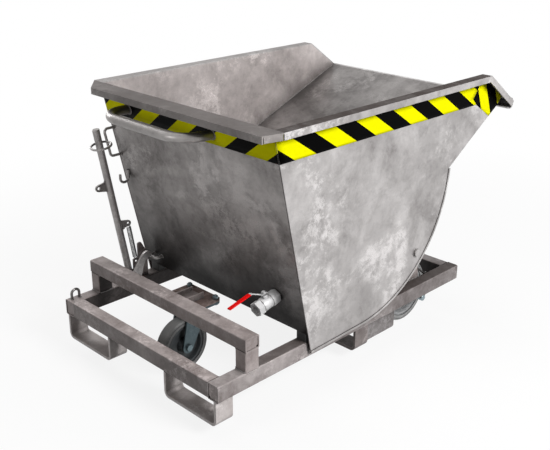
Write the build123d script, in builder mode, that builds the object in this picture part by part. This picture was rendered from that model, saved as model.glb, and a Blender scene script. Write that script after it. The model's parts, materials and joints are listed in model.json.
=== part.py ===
"""Self-tipping hopper on a three-wheeled frame with fork pockets.

Millimetres, +X towards the pouring lip, +Y to the left, +Z up, origin on the ground under the middle.
Stations along the frame are counted from the rear end of the rails, heights from the rails' underside.
"""
import os
from math import acos, atan2, cos, degrees, dist, pi, radians, sin, tan

from build123d import *

os.makedirs("parts", exist_ok=True)

# Clearances
running_gap = 0.05        # shaft in its bore, radial
moving_gap = 0.3          # faces of pieces that move past each other
cap_gap = 0.2             # end cap in its tube

# Frame
rail_length = 1300.0
frame_width = 850.0
rail_height = 60.0
rail_width = 50.0
rail_wall = 4.0
rail_bend = 1.5           # inside corner of the rectangular tubes
cap_thickness = 4.0
cap_inset = 2.0
cap_notch = 7.0

# Guard over the rear end
guard_x = 118.0           # rear face of posts and bar
guard_bar_width = 60.0
guard_bar_height = 48.0
guard_lift = 72.0         # rail top to the bar's underside

# Fork pockets
strap_width = 72.0
strap_thickness = 10.0
strap_bend = 12.0
strap_depth = 94.0        # below the rails
strap_span = 260.0
strap_inset = 12.0        # from the frame's outer face
front_strap_x = 676.0
guide_length = 156.0
guide_depth = 72.0
guide_corner = 8.0

# Lashing eye
eye_rod = 10.0
eye_x = 31.0
eye_width = 32.0
eye_height = 42.0
eye_from_edge = 21.0

# Front wheels and axle
front_wheel_d = 250.0
front_wheel_w = 50.0
front_axle_d = 25.0
front_axle_x = 1080.0
front_axle_inset = 4.0    # axle end behind the frame's outer face
front_wheel_inset = 68.0  # wheel centre from the rail's inner face
front_hub_d = 62.0
front_hub_w = 60.0
front_tread = 22.0
web_thickness = 14.0
rim_ring = 14.0
core_flare = 4.0          # slope of hub and rim into the web
core_inset = 3.0          # core behind the tread's sides
tread_shoulder = 7.0
axle_edge = 2.0
collar_d = 42.0
collar_w = 12.0

# Rear caster
rear_wheel_d = 200.0
rear_wheel_w = 50.0
rear_tread = 20.0
rear_hub_d = 50.0
rear_hub_w = 58.0
caster_trail = 50.0
caster_plate_l = 140.0
caster_plate_w = 175.0
caster_plate_t = 8.0
caster_plate_corner = 14.0
caster_plate_gap = 5.0    # behind the guard bar
mount_plate_t = 6.0
bolt_span_x = 105.0
bolt_span_y = 140.0
bolt_d = 12.0
bolt_hole_d = 13.0
bolt_flats = 19.0
bolt_head = 8.0
nut_height = 10.0
arm_width = 66.0
arm_height = 20.0
arm_wall = 5.0
arm_length = 106.0
race_d = 96.0
race_height = 12.0
king_pin_d = 24.0
king_nut_d = 40.0
king_nut_h = 10.0
crown_d = 104.0
crown_t = 10.0
fork_leg_t = 6.0
fork_leg_gap = 3.0        # leg to hub end
fork_leg_top = 92.0
fork_foot_d = 46.0
wheel_bolt_d = 16.0
wheel_bolt_head = 9.0
wheel_bolt_flats = 22.0

# Tipping pivot
pivot_back = 181.6        # behind the belly's foremost line
pivot_over = 190.3        # above the belly's lowest line
shaft_d = 28.0
shaft_stand = 8.0         # past the side plates
bush_wall = 8.0
boss_wall = 12.0
boss_length = 22.0
bush_stand = 2.0          # bush past the boss
bracket_t = 8.0
bracket_rear = 905.0
bracket_front = 1099.0
bracket_knee_x = 1091.0
bracket_knee_z = 100.0
bracket_root = 5.0        # above the rail's underside
bracket_toe = 4.0         # below the rail's top
stay_d = 8.0
stay_top_x = 1072.0
stay_top_z = 116.0
stay_foot_x = 1150.0
stay_foot_z = 50.0
stay_pad = 24.0
stay_pad_t = 4.0

# Hopper
side_gap = 10.0           # rail's outer face to the side plate
sheet = 4.0
belly_x = 653.6
belly_height = 536.7
belly_r = 508.0
belly_fall = 1.6          # degrees, lower edge drops to the rear
kink_angle = -3.1         # degrees, where belly turns into chute
edge_bar_h = 8.0
edge_bar_w = 10.0
rim_height = 838.0
wall_foot_x = 415.4       # rear wall's outer face at the rails' underside
wall_lean = 12.8          # degrees
wall_bottom = 94.0
floor_r = 330.5
chute_angle = 22.2        # degrees
lip_reach = 1514.0        # rear end of the rails to the front of the lip
lip_r = 22.5
lip_drop = 131.2          # top of the rim to the middle of the roll
lip_turn = 255.0          # degrees of rolled sheet
nose_rise = 13.1          # side plates' front corner above the middle of the roll
rim_depth = 23.0
rear_rim_w = 74.0
side_rim_w = 39.0
rim_corner_in = 18.0      # rear rim is drawn in at its right corner
rim_ear = 3.5             # rear edge past the right corner's edge
rim_cut = 93.0            # left corner cut off along the rear edge
rim_relief = 5.0          # slots between the turned-down edges
rim_bend_back = 179.0     # bend of the side rims behind the front of the lip
rim_fall_angle = 35.4     # degrees
rim_end_back = 3.0
sill_width = 40.0
sill_t = 6.0
buffer_length = 40.0
buffer_width = 44.0
buffer_corner = 5.0
buffer_edge = 3.0

# Push handle
handle_d = 33.7
handle_wall = 3.0
handle_drop = 76.0        # below the top of the rim
handle_x = 126.0
handle_bend = 88.0
handle_spread = 441.0
handle_shift = 79.5       # to the left of the middle

# Keeper loop, chain hook and latch catch on the rear wall
keeper_rod = 10.0
keeper_top = 668.0
keeper_bottom = 561.0
keeper_reach = 45.0
keeper_bend = 13.0
hook_rod = 10.0
hook_from_edge = 21.0     # from the left rail's outer face
hook_top = 500.0
hook_bend_z = 474.0
hook_tip = 490.0
hook_stem_x = 299.0
hook_bend = 18.0
catch_rod = 12.0
catch_x = 352.0
catch_height = 146.0
catch_from_edge = 76.0
catch_width = 44.0
catch_bend = 13.0

# Latch lever
lever_d = 26.9
lever_wall = 2.6
lever_lean = 10.2         # degrees
lever_length = 604.0
lever_from_edge = 27.0
lever_pivot_x = 273.7
lever_lift = 28.0         # shaft above the rail
lever_shaft_d = 20.0
lever_shaft_length = 84.0
lever_shaft_inset = 2.0
lever_cap = 3.0
cheek_t = 8.0
cheek_gap = 30.0
cheek_r = 20.0
cheek_rear = 31.0
cheek_front = 31.0
lug_t = 6.0
lug_r = 13.0
lug_hole_d = 12.0
upper_lug_x = 161.0
upper_lug_z = 461.0
lower_lug_x = 279.4
lower_lug_z = 292.8
lug_root = 22.0           # half the lug's height at the tube
latch_t = 10.0
latch_hub_r = 19.0
latch_crown_x = 6.0       # top of the hook's back, from the shaft
latch_crown_z = 52.0
latch_brow_x = 14.0       # from the nose
latch_brow_z = 26.0
latch_face = 18.0
latch_beak = 4.0
latch_mouth = 9.0
latch_throat_x = 30.0
latch_throat_z = 14.0

# Tension spring
spring_wire = 3.0
spring_d = 19.0
spring_turns = 25.5
spring_foot_x = 304.0
spring_foot_z = 147.4
spring_end = 3.6          # straight end, a little over one wire
spring_lead = 10.0        # from the straight end to the first turn
spring_seat = 11.0        # lug hole to the flat that the spring meets
anchor_seat = 8.0
anchor_step = 12.0        # spring axis to the tall part of the anchor
anchor_top = 200.0
anchor_crest = 16.0       # width of the rounded top
anchor_round = 6.0
anchor_length = 68.0
anchor_front_z = 150.0

# Lock ring
ring_wire = 8.0
ring_mean_d = 74.0
ring_at = 546.0           # along the lever from its shaft
ring_turn = -104.0        # degrees, side that the ring hangs to

# Drain valve, square to the rear wall
drain_y = 111.0
drain_height = 212.2
drain_bore = 27.0
nipple_d = 33.7
nipple_show = 3.0         # pipe between wall and valve
socket_depth = 15.0
valve_length = 98.0
valve_flats = 46.0
valve_hex = 24.0
valve_barrel_d = 48.0
valve_shoulder = 3.0
collar_ring_d = 52.0      # joint of the two halves
collar_ring = 9.0
outlet_bore = 30.3        # under the pipe thread
outlet_depth = 18.0
ball_d = 38.0
ball_bore = 25.0
stem_d = 10.0
stem_tilt = 4.0           # degrees from upright
stem_boss_d = 22.0
stem_boss_at = 33.0
stem_length = 46.0
stem_nut_flats = 15.0
stem_nut = 5.0
handle_bar_t = 2.5
handle_bar_w = 13.0
handle_bar_at = 36.0
handle_bar_tail = 11.0    # bar behind its stem
handle_bar_crank = 30.0
crank_from = 9.0
crank_to = 52.0
handle_bar_run = 150.0
grip_length = 94.0
grip_wall = 1.2

# Derived places
rail_z = front_wheel_d / 2 + front_axle_d / 2
rail_top = rail_z + rail_height
rear_x = -lip_reach / 2
side_y = frame_width / 2
inner_y = side_y - rail_width
rail_y = side_y - rail_width / 2
plate_in = side_y + side_gap
plate_out = plate_in + sheet
keeper_y = frame_width    # in line with the left rail's outer face
hook_y = frame_width - hook_from_edge
catch_y = frame_width - catch_from_edge
lever_y = frame_width - lever_from_edge
lever_shaft_out = frame_width - lever_shaft_inset
lever_shaft_in = lever_shaft_out - lever_shaft_length
guard_under = rail_top + guard_lift
guard_top = guard_under + guard_bar_height
guard_front = rear_x + guard_x + guard_bar_width
lean = tan(radians(wall_lean))
pivot_x = belly_x + belly_r - pivot_back
pivot_height = belly_height - belly_r + pivot_over
lip_height = rim_height - lip_drop
handle_height = rim_height - handle_drop
rim_front_x = lip_reach - rim_bend_back
rim_end_x = lip_reach - rim_end_back


def at(x, z):
    """Point of the side view from a station and a height above the rails' underside."""
    return (rear_x + x, rail_z + z)


def across(y):
    """Upright plane along the frame at Y = y, facing right."""
    return Plane.XZ.offset(-y)


def wall_x(z):
    """Station of the rear wall's outer face at a height."""
    return wall_foot_x - lean * z


def square_tube(width, height):
    """Section of a rectangular tube in the current sketch."""
    RectangleRounded(width, height, rail_wall + rail_bend)
    RectangleRounded(width - 2 * rail_wall, height - 2 * rail_wall, rail_bend, mode=Mode.SUBTRACT)


def wall_plane():
    """Outer face of the rear wall, facing rearwards."""
    x, z = at(wall_x(0.0), 0.0)
    return Plane(origin=(x, 0, z), x_dir=(0, 1, 0), z_dir=(-cos(radians(wall_lean)), 0, -sin(radians(wall_lean))))


# Side rails
with BuildPart() as side_rail_right:
    with BuildSketch(Plane.YZ.offset(rear_x)):
        with Locations((-rail_y, rail_z + rail_height / 2)):
            square_tube(rail_width, rail_height)
    extrude(amount=rail_length)
side_rail_right.part.label = "side_rail_right"
export_step(side_rail_right.part, "parts/side_rail_right.step")

with BuildPart() as side_rail_left:
    mirror(side_rail_right.part, about=Plane.XZ)
side_rail_left.part.label = "side_rail_left"
export_step(side_rail_left.part, "parts/side_rail_left.step")

# Cross rails, butted between the side rails
with BuildPart() as rear_cross_rail:
    with BuildSketch(across(inner_y)):
        with Locations(at(rail_width / 2, rail_height / 2)):
            square_tube(rail_width, rail_height)
    extrude(amount=2 * inner_y)
rear_cross_rail.part.label = "rear_cross_rail"
export_step(rear_cross_rail.part, "parts/rear_cross_rail.step")

with BuildPart() as mid_cross_rail:
    with BuildSketch(across(inner_y)):
        with Locations(at(front_strap_x + strap_width / 2, rail_height / 2)):
            square_tube(rail_width, rail_height)
    extrude(amount=2 * inner_y)
mid_cross_rail.part.label = "mid_cross_rail"
export_step(mid_cross_rail.part, "parts/mid_cross_rail.step")

with BuildPart() as front_cross_rail:
    with BuildSketch(across(inner_y)):
        with Locations(at(rail_length - rail_width / 2, rail_height / 2)):
            square_tube(rail_width, rail_height)
    extrude(amount=2 * inner_y)
front_cross_rail.part.label = "front_cross_rail"
export_step(front_cross_rail.part, "parts/front_cross_rail.step")

# Guard posts and bar
with BuildPart() as guard_posts:
    with BuildSketch(Plane.XY.offset(rail_top)):
        with Locations((rear_x + guard_x + guard_bar_width / 2, -rail_y), (rear_x + guard_x + guard_bar_width / 2, rail_y)):
            RectangleRounded(guard_bar_width, rail_width, rail_wall + rail_bend)
        with Locations((rear_x + guard_x + guard_bar_width / 2, -rail_y), (rear_x + guard_x + guard_bar_width / 2, rail_y)):
            RectangleRounded(guard_bar_width - 2 * rail_wall, rail_width - 2 * rail_wall, rail_bend, mode=Mode.SUBTRACT)
    extrude(amount=guard_lift)
guard_posts.part.label = "guard_posts"
export_step(guard_posts.part, "parts/guard_posts.step")

with BuildPart() as guard_bar:
    with BuildSketch(across(side_y)):
        with Locations((rear_x + guard_x + guard_bar_width / 2, guard_under + guard_bar_height / 2)):
            square_tube(guard_bar_width, guard_bar_height)
    extrude(amount=frame_width)
guard_bar.part.label = "guard_bar"
export_step(guard_bar.part, "parts/guard_bar.step")

# End caps, set a little into the tubes, with a drain notch at one lower corner
rail_cap_w = rail_width - 2 * rail_wall - 2 * cap_gap
rail_cap_h = rail_height - 2 * rail_wall - 2 * cap_gap
bar_cap_w = guard_bar_width - 2 * rail_wall - 2 * cap_gap
bar_cap_h = guard_bar_height - 2 * rail_wall - 2 * cap_gap
bar_cap_corner = (guard_front - rail_wall - cap_gap, guard_under + rail_wall + cap_gap)
with BuildPart() as tube_end_caps:
    with BuildSketch(Plane.YZ.offset(rear_x + cap_inset)):
        with Locations((-rail_y, rail_z + rail_height / 2), (rail_y, rail_z + rail_height / 2)):
            RectangleRounded(rail_cap_w, rail_cap_h, rail_bend)
        with Locations((-rail_y + rail_cap_w / 2, rail_z + rail_height / 2 - rail_cap_h / 2)):
            Rectangle(cap_notch, cap_notch, align=(Align.MAX, Align.MIN), mode=Mode.SUBTRACT)
        with Locations((rail_y - rail_cap_w / 2, rail_z + rail_height / 2 - rail_cap_h / 2)):
            Rectangle(cap_notch, cap_notch, align=(Align.MIN, Align.MIN), mode=Mode.SUBTRACT)
    extrude(amount=cap_thickness)
    with BuildSketch(Plane.YZ.offset(rear_x + rail_length - cap_inset - cap_thickness)):
        with Locations((-rail_y, rail_z + rail_height / 2), (rail_y, rail_z + rail_height / 2)):
            RectangleRounded(rail_cap_w, rail_cap_h, rail_bend)
    extrude(amount=cap_thickness)
    with BuildSketch(across(side_y - cap_inset)):
        with Locations((rear_x + guard_x + guard_bar_width / 2, guard_under + guard_bar_height / 2)):
            RectangleRounded(bar_cap_w, bar_cap_h, rail_bend)
        with Locations(bar_cap_corner):
            Rectangle(cap_notch, cap_notch, align=(Align.MAX, Align.MIN), mode=Mode.SUBTRACT)
    extrude(amount=cap_thickness)
    with BuildSketch(across(-side_y + cap_inset + cap_thickness)):
        with Locations((rear_x + guard_x + guard_bar_width / 2, guard_under + guard_bar_height / 2)):
            RectangleRounded(bar_cap_w, bar_cap_h, rail_bend)
        with Locations(bar_cap_corner):
            Rectangle(cap_notch, cap_notch, align=(Align.MAX, Align.MIN), mode=Mode.SUBTRACT)
    extrude(amount=cap_thickness)
tube_end_caps.part.label = "tube_end_caps"
export_step(tube_end_caps.part, "parts/tube_end_caps.step")


def strap_profile():
    """Bent flat bar of one right-hand fork pocket, seen from the rear."""
    y0 = -side_y + strap_inset
    y1 = y0 + strap_span
    low = rail_z - strap_depth
    t = strap_thickness
    with BuildLine() as outline:
        FilletPolyline((y0, rail_z), (y0, low), (y1, low), (y1, rail_z), radius=strap_bend + t)
        Line((y1, rail_z), (y1 - t, rail_z))
        FilletPolyline((y1 - t, rail_z), (y1 - t, low + t), (y0 + t, low + t), (y0 + t, rail_z), radius=strap_bend)
        Line((y0 + t, rail_z), (y0, rail_z))
    make_face(outline.edges())


# Fork straps under the rails
with BuildPart() as fork_strap_rear_right:
    with BuildSketch(Plane.YZ.offset(rear_x)):
        strap_profile()
    extrude(amount=strap_width)
fork_strap_rear_right.part.label = "fork_strap_rear_right"
export_step(fork_strap_rear_right.part, "parts/fork_strap_rear_right.step")

with BuildPart() as fork_strap_rear_left:
    mirror(fork_strap_rear_right.part, about=Plane.XZ)
fork_strap_rear_left.part.label = "fork_strap_rear_left"
export_step(fork_strap_rear_left.part, "parts/fork_strap_rear_left.step")

with BuildPart() as fork_strap_front_right:
    with BuildSketch(Plane.YZ.offset(rear_x + front_strap_x)):
        strap_profile()
    extrude(amount=strap_width)
fork_strap_front_right.part.label = "fork_strap_front_right"
export_step(fork_strap_front_right.part, "parts/fork_strap_front_right.step")

with BuildPart() as fork_strap_front_left:
    mirror(fork_strap_front_right.part, about=Plane.XZ)
fork_strap_front_left.part.label = "fork_strap_front_left"
export_step(fork_strap_front_left.part, "parts/fork_strap_front_left.step")

# Guide plates ahead of the front straps, flush with their outer walls
with BuildPart() as fork_guides:
    with BuildSketch(across(-side_y + strap_inset + strap_thickness)) as guide:
        with Locations(at(front_strap_x + strap_width, 0.0)):
            Rectangle(guide_length, guide_depth, align=(Align.MIN, Align.MAX))
        fillet(guide.vertices().sort_by(Axis.X)[-2:].sort_by(Axis.Y)[0], guide_corner)
    extrude(amount=strap_thickness)
    mirror(about=Plane.XZ)
fork_guides.part.label = "fork_guides"
export_step(fork_guides.part, "parts/fork_guides.step")

# Lashing eye of bent rod on the left rail
eye_r = eye_width / 2
with BuildPart() as lashing_eye:
    with BuildLine(across(side_y - eye_from_edge)) as eye_path:
        x0, z0 = at(eye_x - eye_r, rail_height)
        arch = z0 + eye_height - eye_rod / 2 - eye_r
        Line((x0, z0), (x0, arch))
        RadiusArc((x0, arch), (x0 + eye_width, arch), eye_r)
        Line((x0 + eye_width, arch), (x0 + eye_width, z0))
    with BuildSketch(Plane(eye_path.line @ 0, z_dir=eye_path.line % 0)):
        Circle(eye_rod / 2)
    sweep()
lashing_eye.part.label = "lashing_eye"
export_step(lashing_eye.part, "parts/lashing_eye.step")

# Caster plates, arm and bolts
swivel_x = guard_front + caster_plate_gap + caster_plate_l / 2
mount_low = guard_under - mount_plate_t
top_low = mount_low - caster_plate_t
race_low = top_low - race_height


def caster_plate():
    """Plate outline with cut corners and the four bolt holes."""
    with Locations((swivel_x, 0)):
        chamfer(Rectangle(caster_plate_l, caster_plate_w).vertices(), caster_plate_corner)
        with GridLocations(bolt_span_x, bolt_span_y, 2, 2):
            Circle(bolt_hole_d / 2, mode=Mode.SUBTRACT)


with BuildPart() as caster_mount_plate:
    with BuildSketch(Plane.XY.offset(mount_low)):
        caster_plate()
    extrude(amount=mount_plate_t)
caster_mount_plate.part.label = "caster_mount_plate"
export_step(caster_mount_plate.part, "parts/caster_mount_plate.step")

crown_top = race_low - moving_gap
crown_low = crown_top - crown_t
king_nut_top = crown_low - moving_gap
with BuildPart() as caster_top_plate:
    with BuildSketch(Plane.XY.offset(top_low)):
        caster_plate()
    extrude(amount=caster_plate_t)
    with BuildSketch(Plane.XY.offset(top_low)):
        with Locations((swivel_x, 0)):
            Circle(race_d / 2)
    extrude(amount=-race_height, taper=8)
    with BuildSketch(Plane.XY.offset(race_low)):
        with Locations((swivel_x, 0)):
            Circle(king_pin_d / 2)
    extrude(amount=king_nut_top - race_low)
    with BuildSketch(Plane.XY.offset(king_nut_top)):
        with Locations((swivel_x, 0)):
            RegularPolygon(king_nut_d / 2, 6)
    extrude(amount=-king_nut_h)
caster_top_plate.part.label = "caster_top_plate"
export_step(caster_top_plate.part, "parts/caster_top_plate.step")

with BuildPart() as caster_bolts:
    with BuildSketch(Plane.XY.offset(top_low - bolt_head)):
        with Locations((swivel_x, 0)):
            with GridLocations(bolt_span_x, bolt_span_y, 2, 2):
                RegularPolygon(bolt_flats / 2, 6, major_radius=False)
    extrude(amount=bolt_head)
    with BuildSketch(Plane.XY.offset(top_low)):
        with Locations((swivel_x, 0)):
            with GridLocations(bolt_span_x, bolt_span_y, 2, 2):
                Circle(bolt_d / 2)
    extrude(amount=caster_plate_t + mount_plate_t + 1.4 * nut_height)
    with BuildSketch(Plane.XY.offset(guard_under)):
        with Locations((swivel_x, 0)):
            with GridLocations(bolt_span_x, bolt_span_y, 2, 2):
                RegularPolygon(bolt_flats / 2, 6, major_radius=False)
    extrude(amount=nut_height)
caster_bolts.part.label = "caster_bolts"
export_step(caster_bolts.part, "parts/caster_bolts.step")

with BuildPart() as caster_arm:
    with BuildSketch(Plane.YZ.offset(guard_front)):
        with Locations((0, guard_under)):
            Rectangle(arm_width, arm_height, align=(Align.CENTER, Align.MIN))
        with Locations((0, guard_under + arm_wall)):
            Rectangle(arm_width - 2 * arm_wall, arm_height, align=(Align.CENTER, Align.MIN), mode=Mode.SUBTRACT)
    extrude(amount=arm_length)
caster_arm.part.label = "caster_arm"
export_step(caster_arm.part, "parts/caster_arm.step")

# Caster fork: crown under the race, two legs raked back to the wheel bolt
wheel_x = swivel_x - caster_trail
wheel_z = rear_wheel_d / 2
leg_in = rear_hub_w / 2 + fork_leg_gap
with BuildPart() as caster_fork:
    with BuildSketch(Plane.XY.offset(crown_low)):
        with Locations((swivel_x, 0)):
            Circle(crown_d / 2)
    extrude(amount=crown_t)
    with BuildSketch(across(leg_in + fork_leg_t)):
        with BuildLine():
            Polyline(
                (swivel_x - fork_leg_top / 2, crown_low),
                (swivel_x + fork_leg_top / 2, crown_low),
                (swivel_x + fork_leg_top / 2, crown_low - fork_leg_t),
                (swivel_x - fork_leg_top / 2, crown_low - fork_leg_t),
                close=True,
            )
        make_face()
        with Locations((wheel_x, wheel_z)):
            Circle(fork_foot_d / 2)
        make_hull()
        with Locations((wheel_x, wheel_z)):
            Circle(wheel_bolt_d / 2, mode=Mode.SUBTRACT)
    extrude(amount=fork_leg_t)
    mirror(about=Plane.XZ)
    with BuildSketch(Plane.XY.offset(crown_low)):
        with Locations((swivel_x, 0)):
            Rectangle(fork_leg_top, 2 * (leg_in + fork_leg_t))
    extrude(amount=crown_t)
    with BuildSketch(Plane.XY.offset(crown_low)):
        with Locations((swivel_x, 0)):
            Circle(king_pin_d / 2 + running_gap)
    extrude(amount=crown_t, mode=Mode.SUBTRACT)
caster_fork.part.label = "caster_fork"
export_step(caster_fork.part, "parts/caster_fork.step")

bolt_reach = leg_in + fork_leg_t
with BuildPart() as wheel_bolt:
    with BuildSketch(across(bolt_reach)):
        with Locations((wheel_x, wheel_z)):
            Circle(wheel_bolt_d / 2)
    extrude(amount=2 * bolt_reach)
    with BuildSketch(across(-bolt_reach), across(bolt_reach + wheel_bolt_head)):
        with Locations((wheel_x, wheel_z)):
            RegularPolygon(wheel_bolt_flats / 2, 6, major_radius=False)
    extrude(amount=wheel_bolt_head)
wheel_bolt.part.label = "wheel_bolt"
export_step(wheel_bolt.part, "parts/wheel_bolt.step")


def wheel_core(diameter, tread, width, hub_d, hub_w, bore_d):
    """Half section of a cast core: hub, web and rim ring, radius along x, width along y."""
    r = diameter / 2 - tread
    with BuildLine() as outline:
        Polyline(
            (bore_d / 2 + running_gap, -hub_w / 2),
            (hub_d / 2, -hub_w / 2),
            (hub_d / 2 + core_flare, -web_thickness / 2),
            (r - rim_ring, -web_thickness / 2),
            (r - rim_ring + core_flare, -width / 2 + core_inset),
            (r, -width / 2 + core_inset),
            (r, width / 2 - core_inset),
            (r - rim_ring + core_flare, width / 2 - core_inset),
            (r - rim_ring, web_thickness / 2),
            (hub_d / 2 + core_flare, web_thickness / 2),
            (hub_d / 2, hub_w / 2),
            (bore_d / 2 + running_gap, hub_w / 2),
            close=True,
        )
    make_face(outline.edges())


def wheel_tread(diameter, tread, width):
    """Half section of the tread with rounded shoulders."""
    r = diameter / 2
    with BuildLine() as outline:
        FilletPolyline(
            (r - tread, -width / 2),
            (r, -width / 2),
            (r, width / 2),
            (r - tread, width / 2),
            radius=tread_shoulder,
        )
        Line((r - tread, width / 2), (r - tread, -width / 2))
    make_face(outline.edges())


# Rear wheel
rear_wheel_plane = Plane(origin=(wheel_x, 0, wheel_z), x_dir=(1, 0, 0), z_dir=(0, 0, 1))
rear_wheel_axis = Axis((wheel_x, 0, wheel_z), (0, 1, 0))
with BuildPart() as rear_core:
    with BuildSketch(rear_wheel_plane):
        wheel_core(rear_wheel_d, rear_tread, rear_wheel_w, rear_hub_d, rear_hub_w, wheel_bolt_d)
    revolve(axis=rear_wheel_axis)
rear_core.part.label = "rear_core"
export_step(rear_core.part, "parts/rear_core.step")

with BuildPart() as rear_tyre:
    with BuildSketch(rear_wheel_plane):
        wheel_tread(rear_wheel_d, rear_tread, rear_wheel_w)
    revolve(axis=rear_wheel_axis)
rear_tyre.part.label = "rear_tyre"
export_step(rear_tyre.part, "parts/rear_tyre.step")

# Front wheels, axle and set collars
axle_x = rear_x + front_axle_x
axle_z = front_wheel_d / 2
front_wheel_y = inner_y - front_wheel_inset
front_wheel_plane = Plane(origin=(axle_x, -front_wheel_y, axle_z), x_dir=(1, 0, 0), z_dir=(0, 0, 1))
front_wheel_axis = Axis((axle_x, 0, axle_z), (0, 1, 0))
with BuildPart() as front_core_right:
    with BuildSketch(front_wheel_plane):
        wheel_core(front_wheel_d, front_tread, front_wheel_w, front_hub_d, front_hub_w, front_axle_d)
    revolve(axis=front_wheel_axis)
front_core_right.part.label = "front_core_right"
export_step(front_core_right.part, "parts/front_core_right.step")

with BuildPart() as front_tyre_right:
    with BuildSketch(front_wheel_plane):
        wheel_tread(front_wheel_d, front_tread, front_wheel_w)
    revolve(axis=front_wheel_axis)
front_tyre_right.part.label = "front_tyre_right"
export_step(front_tyre_right.part, "parts/front_tyre_right.step")

with BuildPart() as front_core_left:
    mirror(front_core_right.part, about=Plane.XZ)
front_core_left.part.label = "front_core_left"
export_step(front_core_left.part, "parts/front_core_left.step")

with BuildPart() as front_tyre_left:
    mirror(front_tyre_right.part, about=Plane.XZ)
front_tyre_left.part.label = "front_tyre_left"
export_step(front_tyre_left.part, "parts/front_tyre_left.step")

with BuildPart() as front_axle:
    with BuildSketch(across(side_y - front_axle_inset)):
        with Locations((axle_x, axle_z)):
            Circle(front_axle_d / 2)
    extrude(amount=2 * (side_y - front_axle_inset))
    chamfer(front_axle.edges().filter_by(GeomType.CIRCLE), axle_edge)
front_axle.part.label = "front_axle"
export_step(front_axle.part, "parts/front_axle.step")

collar_out = front_wheel_y + front_hub_w / 2 + moving_gap
collar_in = front_wheel_y - front_hub_w / 2 - moving_gap - collar_w
with BuildPart() as axle_collars:
    with BuildSketch(across(-collar_out), across(-collar_in)):
        with Locations((axle_x, axle_z)):
            Circle(collar_d / 2)
            Circle(front_axle_d / 2, mode=Mode.SUBTRACT)
    extrude(amount=collar_w)
    mirror(about=Plane.XZ)
axle_collars.part.label = "axle_collars"
export_step(axle_collars.part, "parts/axle_collars.step")

# Pivot brackets on the rails' inner faces
boss_r = shaft_d / 2 + bush_wall + boss_wall
with BuildPart() as pivot_bracket_right:
    with BuildSketch(across(-inner_y + bracket_t)):
        with BuildLine():
            Polyline(
                at(bracket_rear, bracket_root),
                at(bracket_front, bracket_root),
                at(bracket_front, rail_height - bracket_toe),
                at(bracket_knee_x, bracket_knee_z),
                at(bracket_rear, rail_height),
                close=True,
            )
        make_face()
        with Locations(at(pivot_x, pivot_height)):
            Circle(boss_r)
        make_hull()
    extrude(amount=bracket_t)
    with BuildSketch(across(-inner_y + boss_length)):
        with Locations(at(pivot_x, pivot_height)):
            Circle(boss_r)
    extrude(amount=boss_length)
    with BuildSketch(across(-inner_y + boss_length)):
        with Locations(at(pivot_x, pivot_height)):
            Circle(shaft_d / 2 + bush_wall)
    extrude(amount=boss_length, mode=Mode.SUBTRACT)

with BuildPart() as pivot_brackets:
    add(pivot_bracket_right.part)
    mirror(about=Plane.XZ)
pivot_brackets.part.label = "pivot_brackets"
export_step(pivot_brackets.part, "parts/pivot_brackets.step")

with BuildPart() as pivot_bushes:
    with BuildSketch(across(-inner_y + boss_length + bush_stand)):
        with Locations(at(pivot_x, pivot_height)):
            Circle(shaft_d / 2 + bush_wall)
            Circle(shaft_d / 2 + running_gap, mode=Mode.SUBTRACT)
    extrude(amount=boss_length + 2 * bush_stand)
    mirror(about=Plane.XZ)
pivot_bushes.part.label = "pivot_bushes"
export_step(pivot_bushes.part, "parts/pivot_bushes.step")

# Stays from the brackets' front edges down to flat feet on the rails
stay_y = -inner_y + bracket_t / 2
stay_from = Vector(rear_x + stay_top_x, stay_y, rail_z + stay_top_z)
stay_to = Vector(rear_x + stay_foot_x, stay_y, rail_z + stay_foot_z)
with BuildPart() as bracket_stays:
    with BuildSketch(Plane(stay_from, z_dir=stay_to - stay_from)):
        Circle(stay_d / 2)
    extrude(amount=(stay_to - stay_from).length)
    with BuildSketch(across(-inner_y + stay_pad_t)):
        with Locations(at(stay_foot_x, stay_foot_z)):
            Circle(stay_pad / 2)
    extrude(amount=stay_pad_t)
    split(bisect_by=Plane.XZ.offset(inner_y), keep=Keep.BOTTOM)
    add(pivot_bracket_right.part, mode=Mode.SUBTRACT)
    mirror(about=Plane.XZ)
bracket_stays.part.label = "bracket_stays"
export_step(bracket_stays.part, "parts/bracket_stays.step")

# Rest buffers under the sill
wall_in = sheet / cos(radians(wall_lean))
sill_x = wall_x(wall_bottom) + wall_in
with BuildPart() as rest_buffers:
    with BuildSketch(Plane.XY.offset(rail_top)):
        with Locations((rear_x + sill_x + sill_width / 2, -rail_y), (rear_x + sill_x + sill_width / 2, rail_y)):
            RectangleRounded(buffer_length, buffer_width, buffer_corner)
    extrude(amount=wall_bottom - rail_height - moving_gap)
    chamfer(rest_buffers.faces().group_by(Axis.Z)[-1].edges(), buffer_edge)
rest_buffers.part.label = "rest_buffers"
export_step(rest_buffers.part, "parts/rest_buffers.step")

# Hopper outline in the side view
belly = at(belly_x, belly_height)
chute_dir = (cos(radians(chute_angle)), sin(radians(chute_angle)))
chute_up = (-chute_dir[1], chute_dir[0])
lip = at(lip_reach - lip_r, lip_height)
chute_top = lip[0] * chute_up[0] + lip[1] * chute_up[1] + lip_r
fall = radians(rim_fall_angle)


def belly_point(radius, angle):
    """Point on a circle about the belly's centre, angle in degrees from +X."""
    return (belly[0] + radius * cos(radians(angle)), belly[1] + radius * sin(radians(angle)))


def belly_rear(radius, inset=0.0):
    """Where the straight bottom of a belly line meets the rear wall, shifted inwards."""
    x, z = belly_point(radius, belly_fall - 90.0)
    slope = tan(radians(belly_fall))
    wx, wz = at(wall_x(0.0) + inset, 0.0)
    zw = (z + slope * (wx - x) + slope * lean * wz) / (1 + slope * lean)
    return (wx - lean * (zw - wz), zw)


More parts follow.
